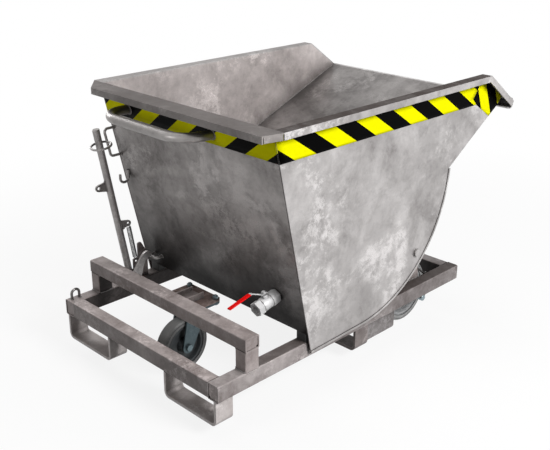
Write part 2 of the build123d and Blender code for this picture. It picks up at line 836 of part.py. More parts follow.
def chute_hit(radius, drop):
    """Angle at which a belly circle meets the chute line that lies a drop below its upper face."""
    h = chute_top - drop - belly[0] * chute_up[0] - belly[1] * chute_up[1]
    return chute_angle + 90.0 - degrees(acos(h / radius))


def rim_line(depth):
    """Rim edge a depth below the top line: rear end, bend and lower front end."""
    rear = at(wall_x(rim_height) + wall_in, rim_height - depth)
    bend = at(rim_front_x - depth * tan(fall / 2), rim_height - depth)
    end_z = rim_height - (rim_end_x - rim_front_x) * tan(fall)
    end = at(rim_end_x - depth * sin(fall), end_z - depth * cos(fall))
    return rear, bend, end


# Side plates with the round belly
plate_r = belly_r - edge_bar_h
with BuildPart() as side_plate_right:
    with BuildSketch(across(-plate_in)):
        with BuildLine():
            low_rear = belly_rear(plate_r)
            low_front = belly_point(plate_r, belly_fall - 90.0)
            kink = belly_point(plate_r, kink_angle)
            rear, bend, end = rim_line(sheet)
            nose = lip[1] + nose_rise
            top_rear = at(wall_x(rim_height - sheet), rim_height - sheet)
            Line(low_rear, low_front)
            RadiusArc(low_front, kink, -plate_r)
            Polyline(
                kink,
                (lip[0] - lip_r / 2, nose),
                (lip[0] - lip_r / 2, bend[1] - (lip[0] - lip_r / 2 - bend[0]) * tan(fall)),
                bend,
                top_rear,
                low_rear,
            )
        make_face()
        with Locations(lip):
            Circle(lip_r, mode=Mode.SUBTRACT)
        with Locations(at(pivot_x, pivot_height)):
            Circle(shaft_d / 2, mode=Mode.SUBTRACT)
    extrude(amount=sheet)
side_plate_right.part.label = "side_plate_right"
export_step(side_plate_right.part, "parts/side_plate_right.step")

with BuildPart() as side_plate_left:
    mirror(side_plate_right.part, about=Plane.XZ)
side_plate_left.part.label = "side_plate_left"
export_step(side_plate_left.part, "parts/side_plate_left.step")

# Edge bars along the bellies
with BuildPart() as edge_bars:
    with BuildSketch(across(-plate_in - sheet / 2 + edge_bar_w / 2)):
        with BuildLine():
            Line(belly_rear(belly_r), belly_point(belly_r, belly_fall - 90.0))
            RadiusArc(belly_point(belly_r, belly_fall - 90.0), belly_point(belly_r, kink_angle), -belly_r)
            Line(belly_point(belly_r, kink_angle), belly_point(plate_r, kink_angle))
            RadiusArc(belly_point(plate_r, kink_angle), belly_point(plate_r, belly_fall - 90.0), plate_r)
            Line(belly_point(plate_r, belly_fall - 90.0), belly_rear(plate_r))
            Line(belly_rear(plate_r), belly_rear(belly_r))
        make_face()
    extrude(amount=edge_bar_w)
    mirror(about=Plane.XZ)
edge_bars.part.label = "edge_bars"
export_step(edge_bars.part, "parts/edge_bars.step")

# Rear wall with its skirt and the drain hole
drain_out = Vector(-cos(radians(wall_lean)), 0, -sin(radians(wall_lean)))
drain_root = Vector(rear_x + wall_x(drain_height), -side_y + drain_y, rail_z + drain_height)
drain_plane = Plane(drain_root, x_dir=(0, 1, 0), z_dir=drain_out)
with BuildPart() as rear_wall:
    with BuildSketch(across(plate_in)):
        with BuildLine():
            Polyline(
                at(wall_x(wall_bottom), wall_bottom),
                at(wall_x(wall_bottom) + wall_in, wall_bottom),
                at(wall_x(rim_height - sheet) + wall_in, rim_height - sheet),
                at(wall_x(rim_height - sheet), rim_height - sheet),
                close=True,
            )
        make_face()
    extrude(amount=2 * plate_in)
    with BuildSketch(drain_plane.offset(sheet)):
        Circle(drain_bore / 2)
    extrude(amount=-3 * sheet, mode=Mode.SUBTRACT)
rear_wall.part.label = "rear_wall"
export_step(rear_wall.part, "parts/rear_wall.step")

# Floor sheet, bent to a quarter round, and the chute plate that leaves it
floor_out = floor_r + sheet
with BuildPart() as floor_sheet:
    with BuildSketch(across(plate_in)):
        with BuildLine():
            in_start = belly_point(floor_r, belly_fall - 90.0)
            in_end = belly_point(floor_r, chute_hit(floor_r, sheet))
            out_start = belly_point(floor_out, belly_fall - 90.0)
            out_end = belly_point(floor_out, chute_hit(floor_out, sheet))
            Line(belly_rear(floor_out, wall_in), out_start)
            RadiusArc(out_start, out_end, -floor_out)
            Line(out_end, in_end)
            RadiusArc(in_end, in_start, floor_r)
            Line(in_start, belly_rear(floor_r, wall_in))
            Line(belly_rear(floor_r, wall_in), belly_rear(floor_out, wall_in))
        make_face()
    extrude(amount=2 * plate_in)
floor_sheet.part.label = "floor_sheet"
export_step(floor_sheet.part, "parts/floor_sheet.step")

chute_root = belly_point(floor_r, chute_hit(floor_r, sheet))
chute_tip = (lip[0] + lip_r * chute_up[0], lip[1] + lip_r * chute_up[1])
chute_low = (chute_tip[0] - sheet * chute_up[0], chute_tip[1] - sheet * chute_up[1])
with BuildPart() as chute_plate:
    with BuildSketch(across(plate_in)):
        with BuildLine():
            Polyline(
                chute_root,
                chute_low,
                chute_tip,
                (chute_root[0] + sheet * chute_up[0], chute_root[1] + sheet * chute_up[1]),
                close=True,
            )
        make_face()
    extrude(amount=2 * plate_in)
chute_plate.part.label = "chute_plate"
export_step(chute_plate.part, "parts/chute_plate.step")

# Rolled lip, from the chute's end round to its underside
rim_out = plate_out + side_rim_w
lip_in = lip_r - sheet
lip_start = chute_angle + 90.0
lip_end = lip_start - lip_turn


def lip_point(radius, angle):
    """Point on a circle about the lip's roll."""
    return (lip[0] + radius * cos(radians(angle)), lip[1] + radius * sin(radians(angle)))


lip_mid = lip_start - lip_turn / 2
with BuildPart() as lip_roll:
    with BuildSketch(across(rim_out - sheet)):
        with BuildLine():
            ThreePointArc(lip_point(lip_r, lip_start), lip_point(lip_r, lip_mid), lip_point(lip_r, lip_end))
            Line(lip_point(lip_r, lip_end), lip_point(lip_in, lip_end))
            ThreePointArc(lip_point(lip_in, lip_end), lip_point(lip_in, lip_mid), lip_point(lip_in, lip_start))
            Line(lip_point(lip_in, lip_start), lip_point(lip_r, lip_start))
        make_face()
    extrude(amount=2 * (rim_out - sheet))
lip_roll.part.label = "lip_roll"
export_step(lip_roll.part, "parts/lip_roll.step")

# Rear rim: flange with turned-down edges, drawn in at the right corner and cut off at the left one
rim_top = rail_z + rim_height
rim_inner_x = rear_x + wall_x(rim_height) + wall_in
rim_outer_x = rim_inner_x - wall_in - rear_rim_w
rim_fold_x = rim_outer_x + sheet
corner_y = rim_out - rim_corner_in
cut_y = rim_out - rim_cut
right_slope = rim_corner_in / (rim_inner_x - rim_fold_x)
left_slope = rim_cut / (rim_inner_x - rim_outer_x)
with BuildPart() as rear_rim:
    with BuildSketch(Plane.XY.offset(rim_top - rim_depth)):
        with BuildLine():
            Polyline(
                (rim_outer_x, -corner_y - rim_ear),
                (rim_fold_x, -corner_y - rim_ear),
                (rim_fold_x, -corner_y),
                (rim_inner_x, -rim_out),
                (rim_inner_x, rim_out),
                (rim_outer_x, cut_y),
                close=True,
            )
        make_face()
    extrude(amount=rim_depth)
    with BuildSketch(Plane.XY.offset(rim_top - rim_depth)):
        with BuildLine():
            Polyline(
                (rim_outer_x, -corner_y + sheet * right_slope),
                (rim_inner_x + sheet, -rim_out - sheet * right_slope),
                (rim_inner_x + sheet, rim_out + sheet * left_slope),
                (rim_outer_x, cut_y),
                close=True,
            )
        make_face()
        offset(amount=-sheet, kind=Kind.INTERSECTION, mode=Mode.REPLACE)
    extrude(amount=rim_depth - sheet, mode=Mode.SUBTRACT)
    with BuildSketch(Plane.XY.offset(rim_top - rim_depth)):
        with Locations((rim_fold_x, -rim_out), (rim_inner_x - rim_relief, -rim_out)):
            Rectangle(rim_relief, 2 * rim_corner_in + 4 * sheet, align=(Align.MIN, Align.CENTER))
    extrude(amount=rim_depth - sheet, mode=Mode.SUBTRACT)
rear_rim.part.label = "rear_rim"
export_step(rear_rim.part, "parts/rear_rim.step")


def rim_band(depth):
    """Band of the side rim between its top line and a depth below."""
    top = rim_line(0.0)
    low = rim_line(depth)
    with BuildLine() as outline:
        Polyline(top[0], top[1], top[2], low[2], low[1], low[0], close=True)
    make_face(outline.edges())


# Side rims: flange over the side plate's top edge and a turned-down outer edge, down to the lip
with BuildPart() as side_rim_right:
    with BuildSketch(across(-plate_in)):
        rim_band(sheet)
    extrude(amount=rim_out - plate_in)
    with BuildSketch(across(-plate_in)):
        with Locations(lip):
            Circle(lip_r)
    extrude(amount=rim_out - sheet - plate_in, mode=Mode.SUBTRACT)
    with BuildSketch(across(-rim_out + sheet)):
        rim_band(rim_depth)
    extrude(amount=sheet)
side_rim_right.part.label = "side_rim_right"
export_step(side_rim_right.part, "parts/side_rim_right.step")

with BuildPart() as side_rim_left:
    mirror(side_rim_right.part, about=Plane.XZ)
side_rim_left.part.label = "side_rim_left"
export_step(side_rim_left.part, "parts/side_rim_left.step")

# Sill along the foot of the rear wall
with BuildPart() as rear_sill:
    with BuildSketch(across(plate_in)):
        with BuildLine():
            Polyline(
                at(wall_x(wall_bottom) + wall_in, wall_bottom),
                at(sill_x + sill_width, wall_bottom),
                at(sill_x + sill_width, wall_bottom + sill_t),
                at(wall_x(wall_bottom + sill_t) + wall_in, wall_bottom + sill_t),
                close=True,
            )
        make_face()
    extrude(amount=2 * plate_in)
rear_sill.part.label = "rear_sill"
export_step(rear_sill.part, "parts/rear_sill.step")

# Pivot shaft through both side plates
with BuildPart() as pivot_shaft:
    with BuildSketch(across(plate_out + shaft_stand)):
        with Locations(at(pivot_x, pivot_height)):
            Circle(shaft_d / 2)
    extrude(amount=2 * (plate_out + shaft_stand))
pivot_shaft.part.label = "pivot_shaft"
export_step(pivot_shaft.part, "parts/pivot_shaft.step")

# Push handle, a bow of tube with its ends coped to the rear wall
handle_y0 = handle_shift - handle_spread / 2
handle_y1 = handle_shift + handle_spread / 2
handle_root = rear_x + wall_x(handle_height) + handle_d
with BuildPart() as push_handle:
    with BuildLine(Plane.XY.offset(rail_z + handle_height)) as handle_path:
        FilletPolyline(
            (handle_root, handle_y0),
            (rear_x + handle_x, handle_y0),
            (rear_x + handle_x, handle_y1),
            (handle_root, handle_y1),
            radius=handle_bend,
        )
    with BuildSketch(Plane(handle_path.line @ 0, z_dir=handle_path.line % 0)):
        Circle(handle_d / 2)
        Circle(handle_d / 2 - handle_wall, mode=Mode.SUBTRACT)
    sweep()
    split(bisect_by=wall_plane(), keep=Keep.TOP)
push_handle.part.label = "push_handle"
export_step(push_handle.part, "parts/push_handle.step")

# Keeper loop beside the lever
with BuildPart() as lock_keeper:
    with BuildLine(across(-side_y + keeper_y)) as keeper_path:
        FilletPolyline(
            at(wall_x(keeper_top) + keeper_rod, keeper_top),
            at(wall_x(keeper_top) - keeper_reach, keeper_top),
            at(wall_x(keeper_bottom) - keeper_reach, keeper_bottom),
            at(wall_x(keeper_bottom) + keeper_rod, keeper_bottom),
            radius=keeper_bend,
        )
    with BuildSketch(Plane(keeper_path.line @ 0, z_dir=keeper_path.line % 0)):
        Circle(keeper_rod / 2)
    sweep()
    split(bisect_by=wall_plane(), keep=Keep.TOP)
lock_keeper.part.label = "lock_keeper"
export_step(lock_keeper.part, "parts/lock_keeper.step")

# Chain hook
with BuildPart() as chain_hook:
    with BuildLine(across(-side_y + hook_y)) as hook_path:
        Line(at(hook_stem_x, hook_top), at(hook_stem_x, hook_bend_z))
        RadiusArc(at(hook_stem_x, hook_bend_z), at(hook_stem_x - 2 * hook_bend, hook_bend_z), hook_bend)
        Line(at(hook_stem_x - 2 * hook_bend, hook_bend_z), at(hook_stem_x - 2 * hook_bend, hook_tip))
    with BuildSketch(Plane(hook_path.line @ 0, z_dir=hook_path.line % 0)):
        Circle(hook_rod / 2)
    sweep()
    split(bisect_by=wall_plane(), keep=Keep.TOP)
chain_hook.part.label = "chain_hook"
export_step(chain_hook.part, "parts/chain_hook.step")

# Latch catch, a bow of rod on the skirt
catch_root = rear_x + wall_x(catch_height) + catch_rod
catch_mid = -side_y + catch_y
with BuildPart() as latch_catch:
    with BuildLine(Plane.XY.offset(rail_z + catch_height)) as catch_path:
        FilletPolyline(
            (catch_root, catch_mid - catch_width / 2),
            (rear_x + catch_x, catch_mid - catch_width / 2),
            (rear_x + catch_x, catch_mid + catch_width / 2),
            (catch_root, catch_mid + catch_width / 2),
            radius=catch_bend,
        )
    with BuildSketch(Plane(catch_path.line @ 0, z_dir=catch_path.line % 0)):
        Circle(catch_rod / 2)
    sweep()
    split(bisect_by=wall_plane(), keep=Keep.TOP)
latch_catch.part.label = "latch_catch"
export_step(latch_catch.part, "parts/latch_catch.step")

# Lever bracket: two cheeks for the shaft and the spring's anchor plate
lever_mid = -side_y + lever_y
lever_foot = at(lever_pivot_x, rail_height + lever_lift)
lug_at = Vector(rear_x + lower_lug_x, lever_mid, rail_z + lower_lug_z)
foot_at = Vector(rear_x + spring_foot_x, lever_mid, rail_z + spring_foot_z)
spring_dir = (foot_at - lug_at).normalized()
seat_slope = -spring_dir.X / spring_dir.Z
seat_x = foot_at.X + anchor_seat * spring_dir.X
seat_z = foot_at.Z + anchor_seat * spring_dir.Z
with BuildPart() as lever_bracket:
    with BuildSketch(across(lever_mid - cheek_gap / 2), across(lever_mid + cheek_gap / 2 + cheek_t)):
        with Locations((lever_foot[0], rail_top)):
            Rectangle(cheek_rear + cheek_front, rail_wall, align=(Align.CENTER, Align.MIN))
        with Locations(lever_foot):
            Circle(cheek_r)
        make_hull()
        with Locations(lever_foot):
            Circle(lever_shaft_d / 2 + running_gap, mode=Mode.SUBTRACT)
    extrude(amount=cheek_t)
    with BuildSketch(across(lever_mid + lug_t / 2)) as anchor:
        with BuildLine():
            Polyline(
                (seat_x - anchor_step, rail_top),
                (seat_x - anchor_step + anchor_length, rail_top),
                (seat_x - anchor_step + anchor_length, rail_z + anchor_front_z),
                (seat_x + anchor_step + anchor_crest, rail_z + anchor_top),
                (seat_x + anchor_step, rail_z + anchor_top),
                (seat_x + anchor_step, seat_z + anchor_step * seat_slope),
                (seat_x - anchor_step, seat_z - anchor_step * seat_slope),
                close=True,
            )
        make_face()
        fillet(anchor.vertices().group_by(Axis.Y)[-1], anchor_round)
        with Locations((seat_x + spring_seat * spring_dir.X, seat_z + spring_seat * spring_dir.Z)):
            Circle(lug_hole_d / 2, mode=Mode.SUBTRACT)
    extrude(amount=lug_t)
lever_bracket.part.label = "lever_bracket"
export_step(lever_bracket.part, "parts/lever_bracket.step")

# Lever tube on its shaft, closed at the top
lever_dir = Vector(-sin(radians(lever_lean)), 0, cos(radians(lever_lean)))
lever_plane = Plane(
    origin=(lever_foot[0], lever_mid, lever_foot[1]), x_dir=(cos(radians(lever_lean)), 0, sin(radians(lever_lean))),
    z_dir=lever_dir,
)
with BuildPart() as lever_shaft:
    with BuildSketch(across(-side_y + lever_shaft_out)):
        with Locations(lever_foot):
            Circle(lever_shaft_d / 2)
    extrude(amount=lever_shaft_out - lever_shaft_in)
lever_shaft.part.label = "lever_shaft"
export_step(lever_shaft.part, "parts/lever_shaft.step")

with BuildPart() as lever_tube:
    with BuildSketch(lever_plane):
        Circle(lever_d / 2)
    extrude(amount=lever_length)
    fillet(lever_tube.faces().sort_by(Axis.Z)[-1].edges(), lever_cap - 1)
    with BuildSketch(lever_plane):
        Circle(lever_d / 2 - lever_wall)
    extrude(amount=lever_length - lever_cap, mode=Mode.SUBTRACT)
    add(lever_shaft.part, mode=Mode.SUBTRACT)
lever_tube.part.label = "lever_tube"
export_step(lever_tube.part, "parts/lever_tube.step")


def lever_x(z):
    """X of the lever's axis at a height Z."""
    return lever_foot[0] - (z - lever_foot[1]) * tan(radians(lever_lean))


def lug_profile(x, z):
    """Rounded lug from the lever's axis out to a hole at X, Z."""
    with BuildLine() as outline:
        Polyline(
            (lever_x(z - lug_root), z - lug_root), (lever_x(z + lug_root), z + lug_root), (x, z), close=True
        )
    make_face(outline.edges())
    with Locations((x, z)):
        Circle(lug_r)
    make_hull()
    with Locations((x, z)):
        Circle(lug_hole_d / 2, mode=Mode.SUBTRACT)


seat_plane = Plane(origin=lug_at + spring_dir * spring_seat, x_dir=(0, 1, 0), z_dir=spring_dir)
with BuildPart() as lever_lugs:
    with BuildSketch(across(lever_mid + lug_t / 2)):
        lug_profile(lug_at.X, lug_at.Z)
    extrude(amount=lug_t)
    with BuildSketch(seat_plane):
        Rectangle(2 * lug_t, 2 * spring_d)
    extrude(amount=lug_r, mode=Mode.SUBTRACT)
    with BuildSketch(across(lever_mid + lug_t / 2)):
        lug_profile(*at(upper_lug_x, upper_lug_z))
    extrude(amount=lug_t)
    with BuildSketch(lever_plane):
        Circle(lever_d / 2)
    extrude(amount=lever_length, mode=Mode.SUBTRACT)
lever_lugs.part.label = "lever_lugs"
export_step(lever_lugs.part, "parts/lever_lugs.step")

# Latch hook on the lever's shaft; its nose stands just behind the path of the catch
catch_arm = dist((pivot_x, pivot_height), (catch_x, catch_height))
nose_x = rear_x + pivot_x - catch_arm - catch_rod / 2 - 2 * moving_gap
nose_z = rail_z + catch_height + catch_rod / 2 + 2.0
with BuildPart() as latch_hook:
    with BuildSketch(across(catch_mid + latch_t / 2)):
        with BuildLine():
            Spline(
                (lever_foot[0] - latch_hub_r, lever_foot[1]),
                (lever_foot[0] + latch_crown_x, lever_foot[1] + latch_crown_z),
                (nose_x - latch_brow_x, nose_z + latch_brow_z),
                tangents=[(0, 1), (1, 0.15)],
            )
            Line((nose_x - latch_brow_x, nose_z + latch_brow_z), (nose_x, nose_z + latch_face))
            Line((nose_x, nose_z + latch_face), (nose_x, nose_z - latch_beak))
            Line((nose_x, nose_z - latch_beak), (nose_x - latch_mouth, nose_z))
            Spline(
                (nose_x - latch_mouth, nose_z),
                (nose_x - latch_throat_x, nose_z - latch_throat_z),
                (lever_foot[0] + latch_hub_r, lever_foot[1]),
                tangents=[(-1, -0.1), (-0.4, -1)],
            )
            Line((lever_foot[0] + latch_hub_r, lever_foot[1]), (lever_foot[0] - latch_hub_r, lever_foot[1]))
        make_face()
        with Locations(lever_foot):
            Circle(latch_hub_r)
        with Locations(lever_foot):
            Circle(lever_shaft_d / 2, mode=Mode.SUBTRACT)
    extrude(amount=latch_t)
latch_hook.part.label = "latch_hook"
export_step(latch_hook.part, "parts/latch_hook.step")

# Lock ring, hanging against the lever
ring_r = ring_mean_d / 2
ring_off = ring_r - ring_wire / 2 - lever_d / 2 - moving_gap
ring_at_point = lever_plane.from_local_coords(
    (ring_off * cos(radians(ring_turn)), ring_off * sin(radians(ring_turn)), ring_at)
)
ring_plane = Plane(origin=ring_at_point, x_dir=lever_plane.x_dir, z_dir=lever_plane.z_dir)
with BuildPart() as lock_ring:
    with BuildSketch(Plane(origin=ring_at_point, x_dir=ring_plane.x_dir, z_dir=-ring_plane.y_dir)):
        with Locations((ring_r, 0)):
            Circle(ring_wire / 2)
    revolve(axis=Axis(ring_plane.origin, ring_plane.z_dir))
lock_ring.part.label = "lock_ring"
export_step(lock_ring.part, "parts/lock_ring.step")

# Tension spring: one wire, straight ends on the axis, turns made of tangent arcs
coil_r = (spring_d - spring_wire) / 2
side_dir = spring_dir.cross(Vector(0, 1, 0)).normalized()
wire_from = lug_at + spring_dir * (spring_seat + moving_gap)
wire_to = foot_at + spring_dir * (anchor_seat - moving_gap)
wire_span = (wire_to - wire_from).length
coil_from = spring_end + spring_lead
coil_length = wire_span - 2 * coil_from
coil_pitch = coil_length / spring_turns
turn_rate = 2 * pi * spring_turns / coil_length


def coil_point(s):
    """Point of the winding at a distance along the axis from the wire's start."""
    a = (s - coil_from) * turn_rate
    return wire_from + spring_dir * s + side_dir * (coil_r * cos(a)) + Vector(0, 1, 0) * (coil_r * sin(a))


def coil_tangent(s):
    """Direction of the winding at a distance along the axis."""
    a = (s - coil_from) * turn_rate
    return (
        spring_dir + side_dir * (-coil_r * turn_rate * sin(a)) + Vector(0, 1, 0) * (coil_r * turn_rate * cos(a))
    ).normalized()


def arc_pair(p, t, q, u):
    """Two tangent arcs from p along t to q along u; gives the point where they meet and its tangent."""
    v = q - p
    k = 2 * (1 - t.dot(u))
    b = v.dot(t + u)
    d = (-b + (b * b + k * v.dot(v)) ** 0.5) / k
    a0 = p + t * d
    a1 = q - u * d
    return (a0 + a1) * 0.5, (a1 - a0).normalized()


stations = [wire_from + spring_dir * spring_end, coil_point(coil_from)]
headings = [spring_dir, coil_tangent(coil_from)]
quarter_turns = round(4 * spring_turns)
for i in range(1, quarter_turns + 1):
    s = coil_from + coil_length * i / quarter_turns
    stations.append(coil_point(s))
    headings.append(coil_tangent(s))
stations.append(wire_to - spring_dir * spring_end)
headings.append(spring_dir)

with BuildPart() as latch_spring:
    with BuildLine() as spring_path:
        Line(wire_from, stations[0])
        for p, t, q, u in zip(stations, headings, stations[1:], headings[1:]):
            joint, heading = arc_pair(p, t, q, u)
            TangentArc(p, joint, tangent=t)
            TangentArc(joint, q, tangent=heading)
        Line(stations[-1], wire_to)
    with BuildSketch(Plane(wire_from, x_dir=side_dir, z_dir=spring_dir)):
        Circle(spring_wire / 2)
    sweep()
latch_spring.part.label = "latch_spring"
export_step(latch_spring.part, "parts/latch_spring.step")

# Least gap of the spring to itself, measured on points of its winding more than half a turn apart
samples = 24
winding = [coil_point(coil_from + coil_pitch * i / samples) for i in range(int(3 * samples) + 1)]
least = min(
    (winding[j] - winding[i]).length
    for i in range(len(winding))
    for j in range(i + samples // 2 + 1, len(winding))
)
print("spring: least gap to itself", round(least - spring_wire, 2), "mm, pitch", round(coil_pitch, 2), "mm")

# Drain nipple and valve body
valve_end = nipple_show + valve_length
half = valve_length / 2
ball_at = drain_root + drain_out * (nipple_show + half)
stem_up = Vector(-sin(radians(wall_lean)), 0, cos(radians(wall_lean)))
stem_dir = stem_up * cos(radians(stem_tilt)) + Vector(0, 1, 0) * sin(radians(stem_tilt))
bore_plane = Plane(ball_at, x_dir=drain_out, z_dir=drain_out.cross(Vector(0, 1, 0)))
bore_axis = Axis(ball_at, drain_out)
with BuildPart() as drain_nipple:
    with BuildSketch(drain_plane):
        Circle(nipple_d / 2)
        Circle(drain_bore / 2, mode=Mode.SUBTRACT)
    extrude(amount=nipple_show + socket_depth)
drain_nipple.part.label = "drain_nipple"
export_step(drain_nipple.part, "parts/drain_nipple.step")

with BuildPart() as valve_body:
    with BuildSketch(drain_plane.offset(nipple_show), drain_plane.offset(valve_end - valve_hex)):
        RegularPolygon(valve_flats / 2, 6, major_radius=False, rotation=30)
    extrude(amount=valve_hex)
    with BuildSketch(bore_plane):
        with BuildLine():
            FilletPolyline(
                (-half + valve_hex, 0),
                (-half + valve_hex, valve_barrel_d / 2),
                (half - valve_hex, valve_barrel_d / 2),
                (half - valve_hex, 0),
                radius=valve_shoulder,
            )
            Line((half - valve_hex, 0), (-half + valve_hex, 0))
        make_face()
    revolve(axis=bore_axis)
    with BuildSketch(drain_plane.offset(nipple_show + valve_hex)):
        Circle(collar_ring_d / 2)
    extrude(amount=collar_ring)
    with BuildSketch(Plane(ball_at, x_dir=drain_out, z_dir=stem_dir)):
        Circle(stem_boss_d / 2)
    extrude(amount=stem_boss_at)
    with BuildSketch(Plane(ball_at, x_dir=drain_out, z_dir=stem_dir)):
        Circle(stem_d / 2 + running_gap)
    extrude(amount=stem_boss_at, mode=Mode.SUBTRACT)
    with BuildSketch(bore_plane):
        with BuildLine():
            bore_r = ball_bore / 2
            seat_r = ball_d / 2 + moving_gap
            seat_half = (seat_r**2 - bore_r**2) ** 0.5
            Polyline(
                (-seat_half, bore_r),
                (-half + socket_depth, bore_r),
                (-half + socket_depth, nipple_d / 2),
                (-half, nipple_d / 2),
                (-half, 0),
                (half, 0),
                (half, outlet_bore / 2),
                (half - outlet_depth, outlet_bore / 2),
                (half - outlet_depth, bore_r),
                (seat_half, bore_r),
            )
            RadiusArc((seat_half, bore_r), (-seat_half, bore_r), -seat_r)
        make_face()
    revolve(axis=bore_axis, mode=Mode.SUBTRACT)
valve_body.part.label = "valve_body"
export_step(valve_body.part, "parts/valve_body.step")

# Ball with its stem, open to the pipe
stem_plane = Plane(ball_at, x_dir=drain_out, z_dir=stem_dir)
ball_half = ((ball_d / 2) ** 2 - (ball_bore / 2) ** 2) ** 0.5
with BuildPart() as valve_ball:
    with BuildSketch(bore_plane):
        with BuildLine():
            RadiusArc((-ball_half, ball_bore / 2), (ball_half, ball_bore / 2), ball_d / 2)
            Line((ball_half, ball_bore / 2), (-ball_half, ball_bore / 2))
        make_face()
    revolve(axis=bore_axis)
    with BuildSketch(stem_plane.offset((ball_d + ball_bore) / 4)):
        Circle(stem_d / 2)
    extrude(amount=stem_length - (ball_d + ball_bore) / 4)
    with BuildSketch(stem_plane.offset(handle_bar_at + handle_bar_t)):
        RegularPolygon(stem_nut_flats / 2, 6, major_radius=False)
    extrude(amount=stem_nut)
valve_ball.part.label = "valve_ball"
export_step(valve_ball.part, "parts/valve_ball.step")

# Handle bar, cranked away from the pipe, and its grip sleeve
bar_side = Plane(ball_at, x_dir=drain_out, z_dir=drain_out.cross(stem_dir))
bar_low = handle_bar_at
bar_high = handle_bar_at + handle_bar_crank
with BuildPart() as valve_lever:
    with BuildSketch(bar_side.offset(-handle_bar_w / 2)):
        with BuildLine():
            Polyline(
                (-handle_bar_tail, bar_low),
                (crank_from, bar_low),
                (crank_to, bar_high),
                (handle_bar_run, bar_high),
                (handle_bar_run, bar_high + handle_bar_t),
                (crank_to, bar_high + handle_bar_t),
                (crank_from, bar_low + handle_bar_t),
                (-handle_bar_tail, bar_low + handle_bar_t),
                close=True,
            )
        make_face()
    extrude(amount=handle_bar_w)
    with BuildSketch(stem_plane):
        Circle(stem_d / 2)
    extrude(amount=stem_length, mode=Mode.SUBTRACT)
valve_lever.part.label = "valve_lever"
export_step(valve_lever.part, "parts/valve_lever.step")

grip_from = handle_bar_run - grip_length + grip_wall
with BuildPart() as valve_grip:
    with BuildSketch(bar_side.offset(-handle_bar_w / 2 - grip_wall)):
        with Locations((grip_from, bar_high - grip_wall)):
            Rectangle(grip_length, handle_bar_t + 2 * grip_wall, align=(Align.MIN, Align.MIN))
    extrude(amount=handle_bar_w + 2 * grip_wall)
    fillet(valve_grip.edges().filter_by(bore_axis), grip_wall)
    add(valve_lever.part, mode=Mode.SUBTRACT)
valve_grip.part.label = "valve_grip"
export_step(valve_grip.part, "parts/valve_grip.step")
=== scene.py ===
import json
from itertools import product
import bmesh
import bpy
import numpy as np
from mathutils import Matrix


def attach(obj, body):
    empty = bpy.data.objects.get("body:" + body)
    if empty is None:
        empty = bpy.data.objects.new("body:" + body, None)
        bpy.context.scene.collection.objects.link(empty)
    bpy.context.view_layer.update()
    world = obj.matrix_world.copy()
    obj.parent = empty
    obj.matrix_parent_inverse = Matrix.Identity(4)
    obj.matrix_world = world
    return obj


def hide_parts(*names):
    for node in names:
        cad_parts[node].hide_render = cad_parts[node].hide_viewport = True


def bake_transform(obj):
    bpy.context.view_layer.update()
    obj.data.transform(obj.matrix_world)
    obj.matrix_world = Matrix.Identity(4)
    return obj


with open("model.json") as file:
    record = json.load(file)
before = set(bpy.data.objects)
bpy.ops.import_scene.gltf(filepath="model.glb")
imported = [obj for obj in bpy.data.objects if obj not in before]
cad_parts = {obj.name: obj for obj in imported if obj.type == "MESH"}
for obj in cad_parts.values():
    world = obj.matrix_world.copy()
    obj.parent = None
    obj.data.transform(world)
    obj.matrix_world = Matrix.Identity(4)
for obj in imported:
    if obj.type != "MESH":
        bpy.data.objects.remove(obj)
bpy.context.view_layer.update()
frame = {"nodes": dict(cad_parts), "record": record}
nodes = frame["nodes"]
print("frame loaded:", len(nodes), "nodes")

# Measured frame in mm: station from the rails' rear end, width from the right rail's outer face,
# height over the rails' underside
measured = {"station": 757.0, "middle": 425.0, "ground": 137.5, "width": 850.0}


def place(x, y, z):  # measured mm to the part's metres
    x, y, z = np.broadcast_arrays(np.asarray(x, float), np.asarray(y, float), np.asarray(z, float))
    x = x - measured["station"]
    y = y - measured["middle"]
    z = z + measured["ground"]
    return np.stack([x, y, z], -1) / 1000


def across(y):  # the same width counted from the other side
    return measured["width"] - y


def unit(v):
    return v / np.maximum(np.linalg.norm(v, axis=-1, keepdims=True), 1e-12)


def setAxes(obj, right, up, back, pos):  # axes and place are the columns of the object's matrix
    m = np.eye(4)
    m[:3] = np.stack([right, up, back, pos], -1)
    obj.matrix_world = Matrix(m.tolist())
    bpy.context.scene.collection.objects.link(obj)


# Camera at the photograph's angle
viewOf = {
    "pos": (-2.2733, -2.1706, 1.6696), "azimuth": -45.259, "elevation": 21.957, "roll": 0.384,
    "lens": 57.165, "sensor": 36.0, "clip": 200.0,
}


def makeCamera(v):  # back, right and up follow from azimuth and elevation, then turn by the roll
    a, e, r = np.radians([v["azimuth"], v["elevation"], v["roll"]])
    back = np.array([np.sin(a) * np.cos(e), -np.cos(a) * np.cos(e), np.sin(e)])
    right = unit(np.cross(-back, [0, 0, 1.0]))
    up = np.cross(right, -back)
    right, up = right * np.cos(r) + up * np.sin(r), up * np.cos(r) - right * np.sin(r)
    data = bpy.data.cameras.new("photoCamera")
    data.lens = v["lens"]
    data.sensor_width = v["sensor"]
    data.sensor_fit = "HORIZONTAL"
    data.clip_end = v["clip"]
    obj = bpy.data.objects.new("photoCamera", data)
    setAxes(obj, right, up, back, v["pos"])
    bpy.context.scene.camera = obj


makeCamera(viewOf)
print("camera set")


# Mesh tools: every new piece is a set of point grids
def gridFaces(nu, nv, loopU, loopV):  # four corners of each cell, row after row
    rows = np.arange(nu if loopU else nu - 1)
    columns = np.arange(nv if loopV else nv - 1)
    a, b = np.meshgrid(rows, columns, indexing="ij")
    c, d = (a + 1) % nu, (b + 1) % nv
    return np.stack([a * nv + b, c * nv + b, c * nv + d, a * nv + d], -1).reshape(-1, 4)


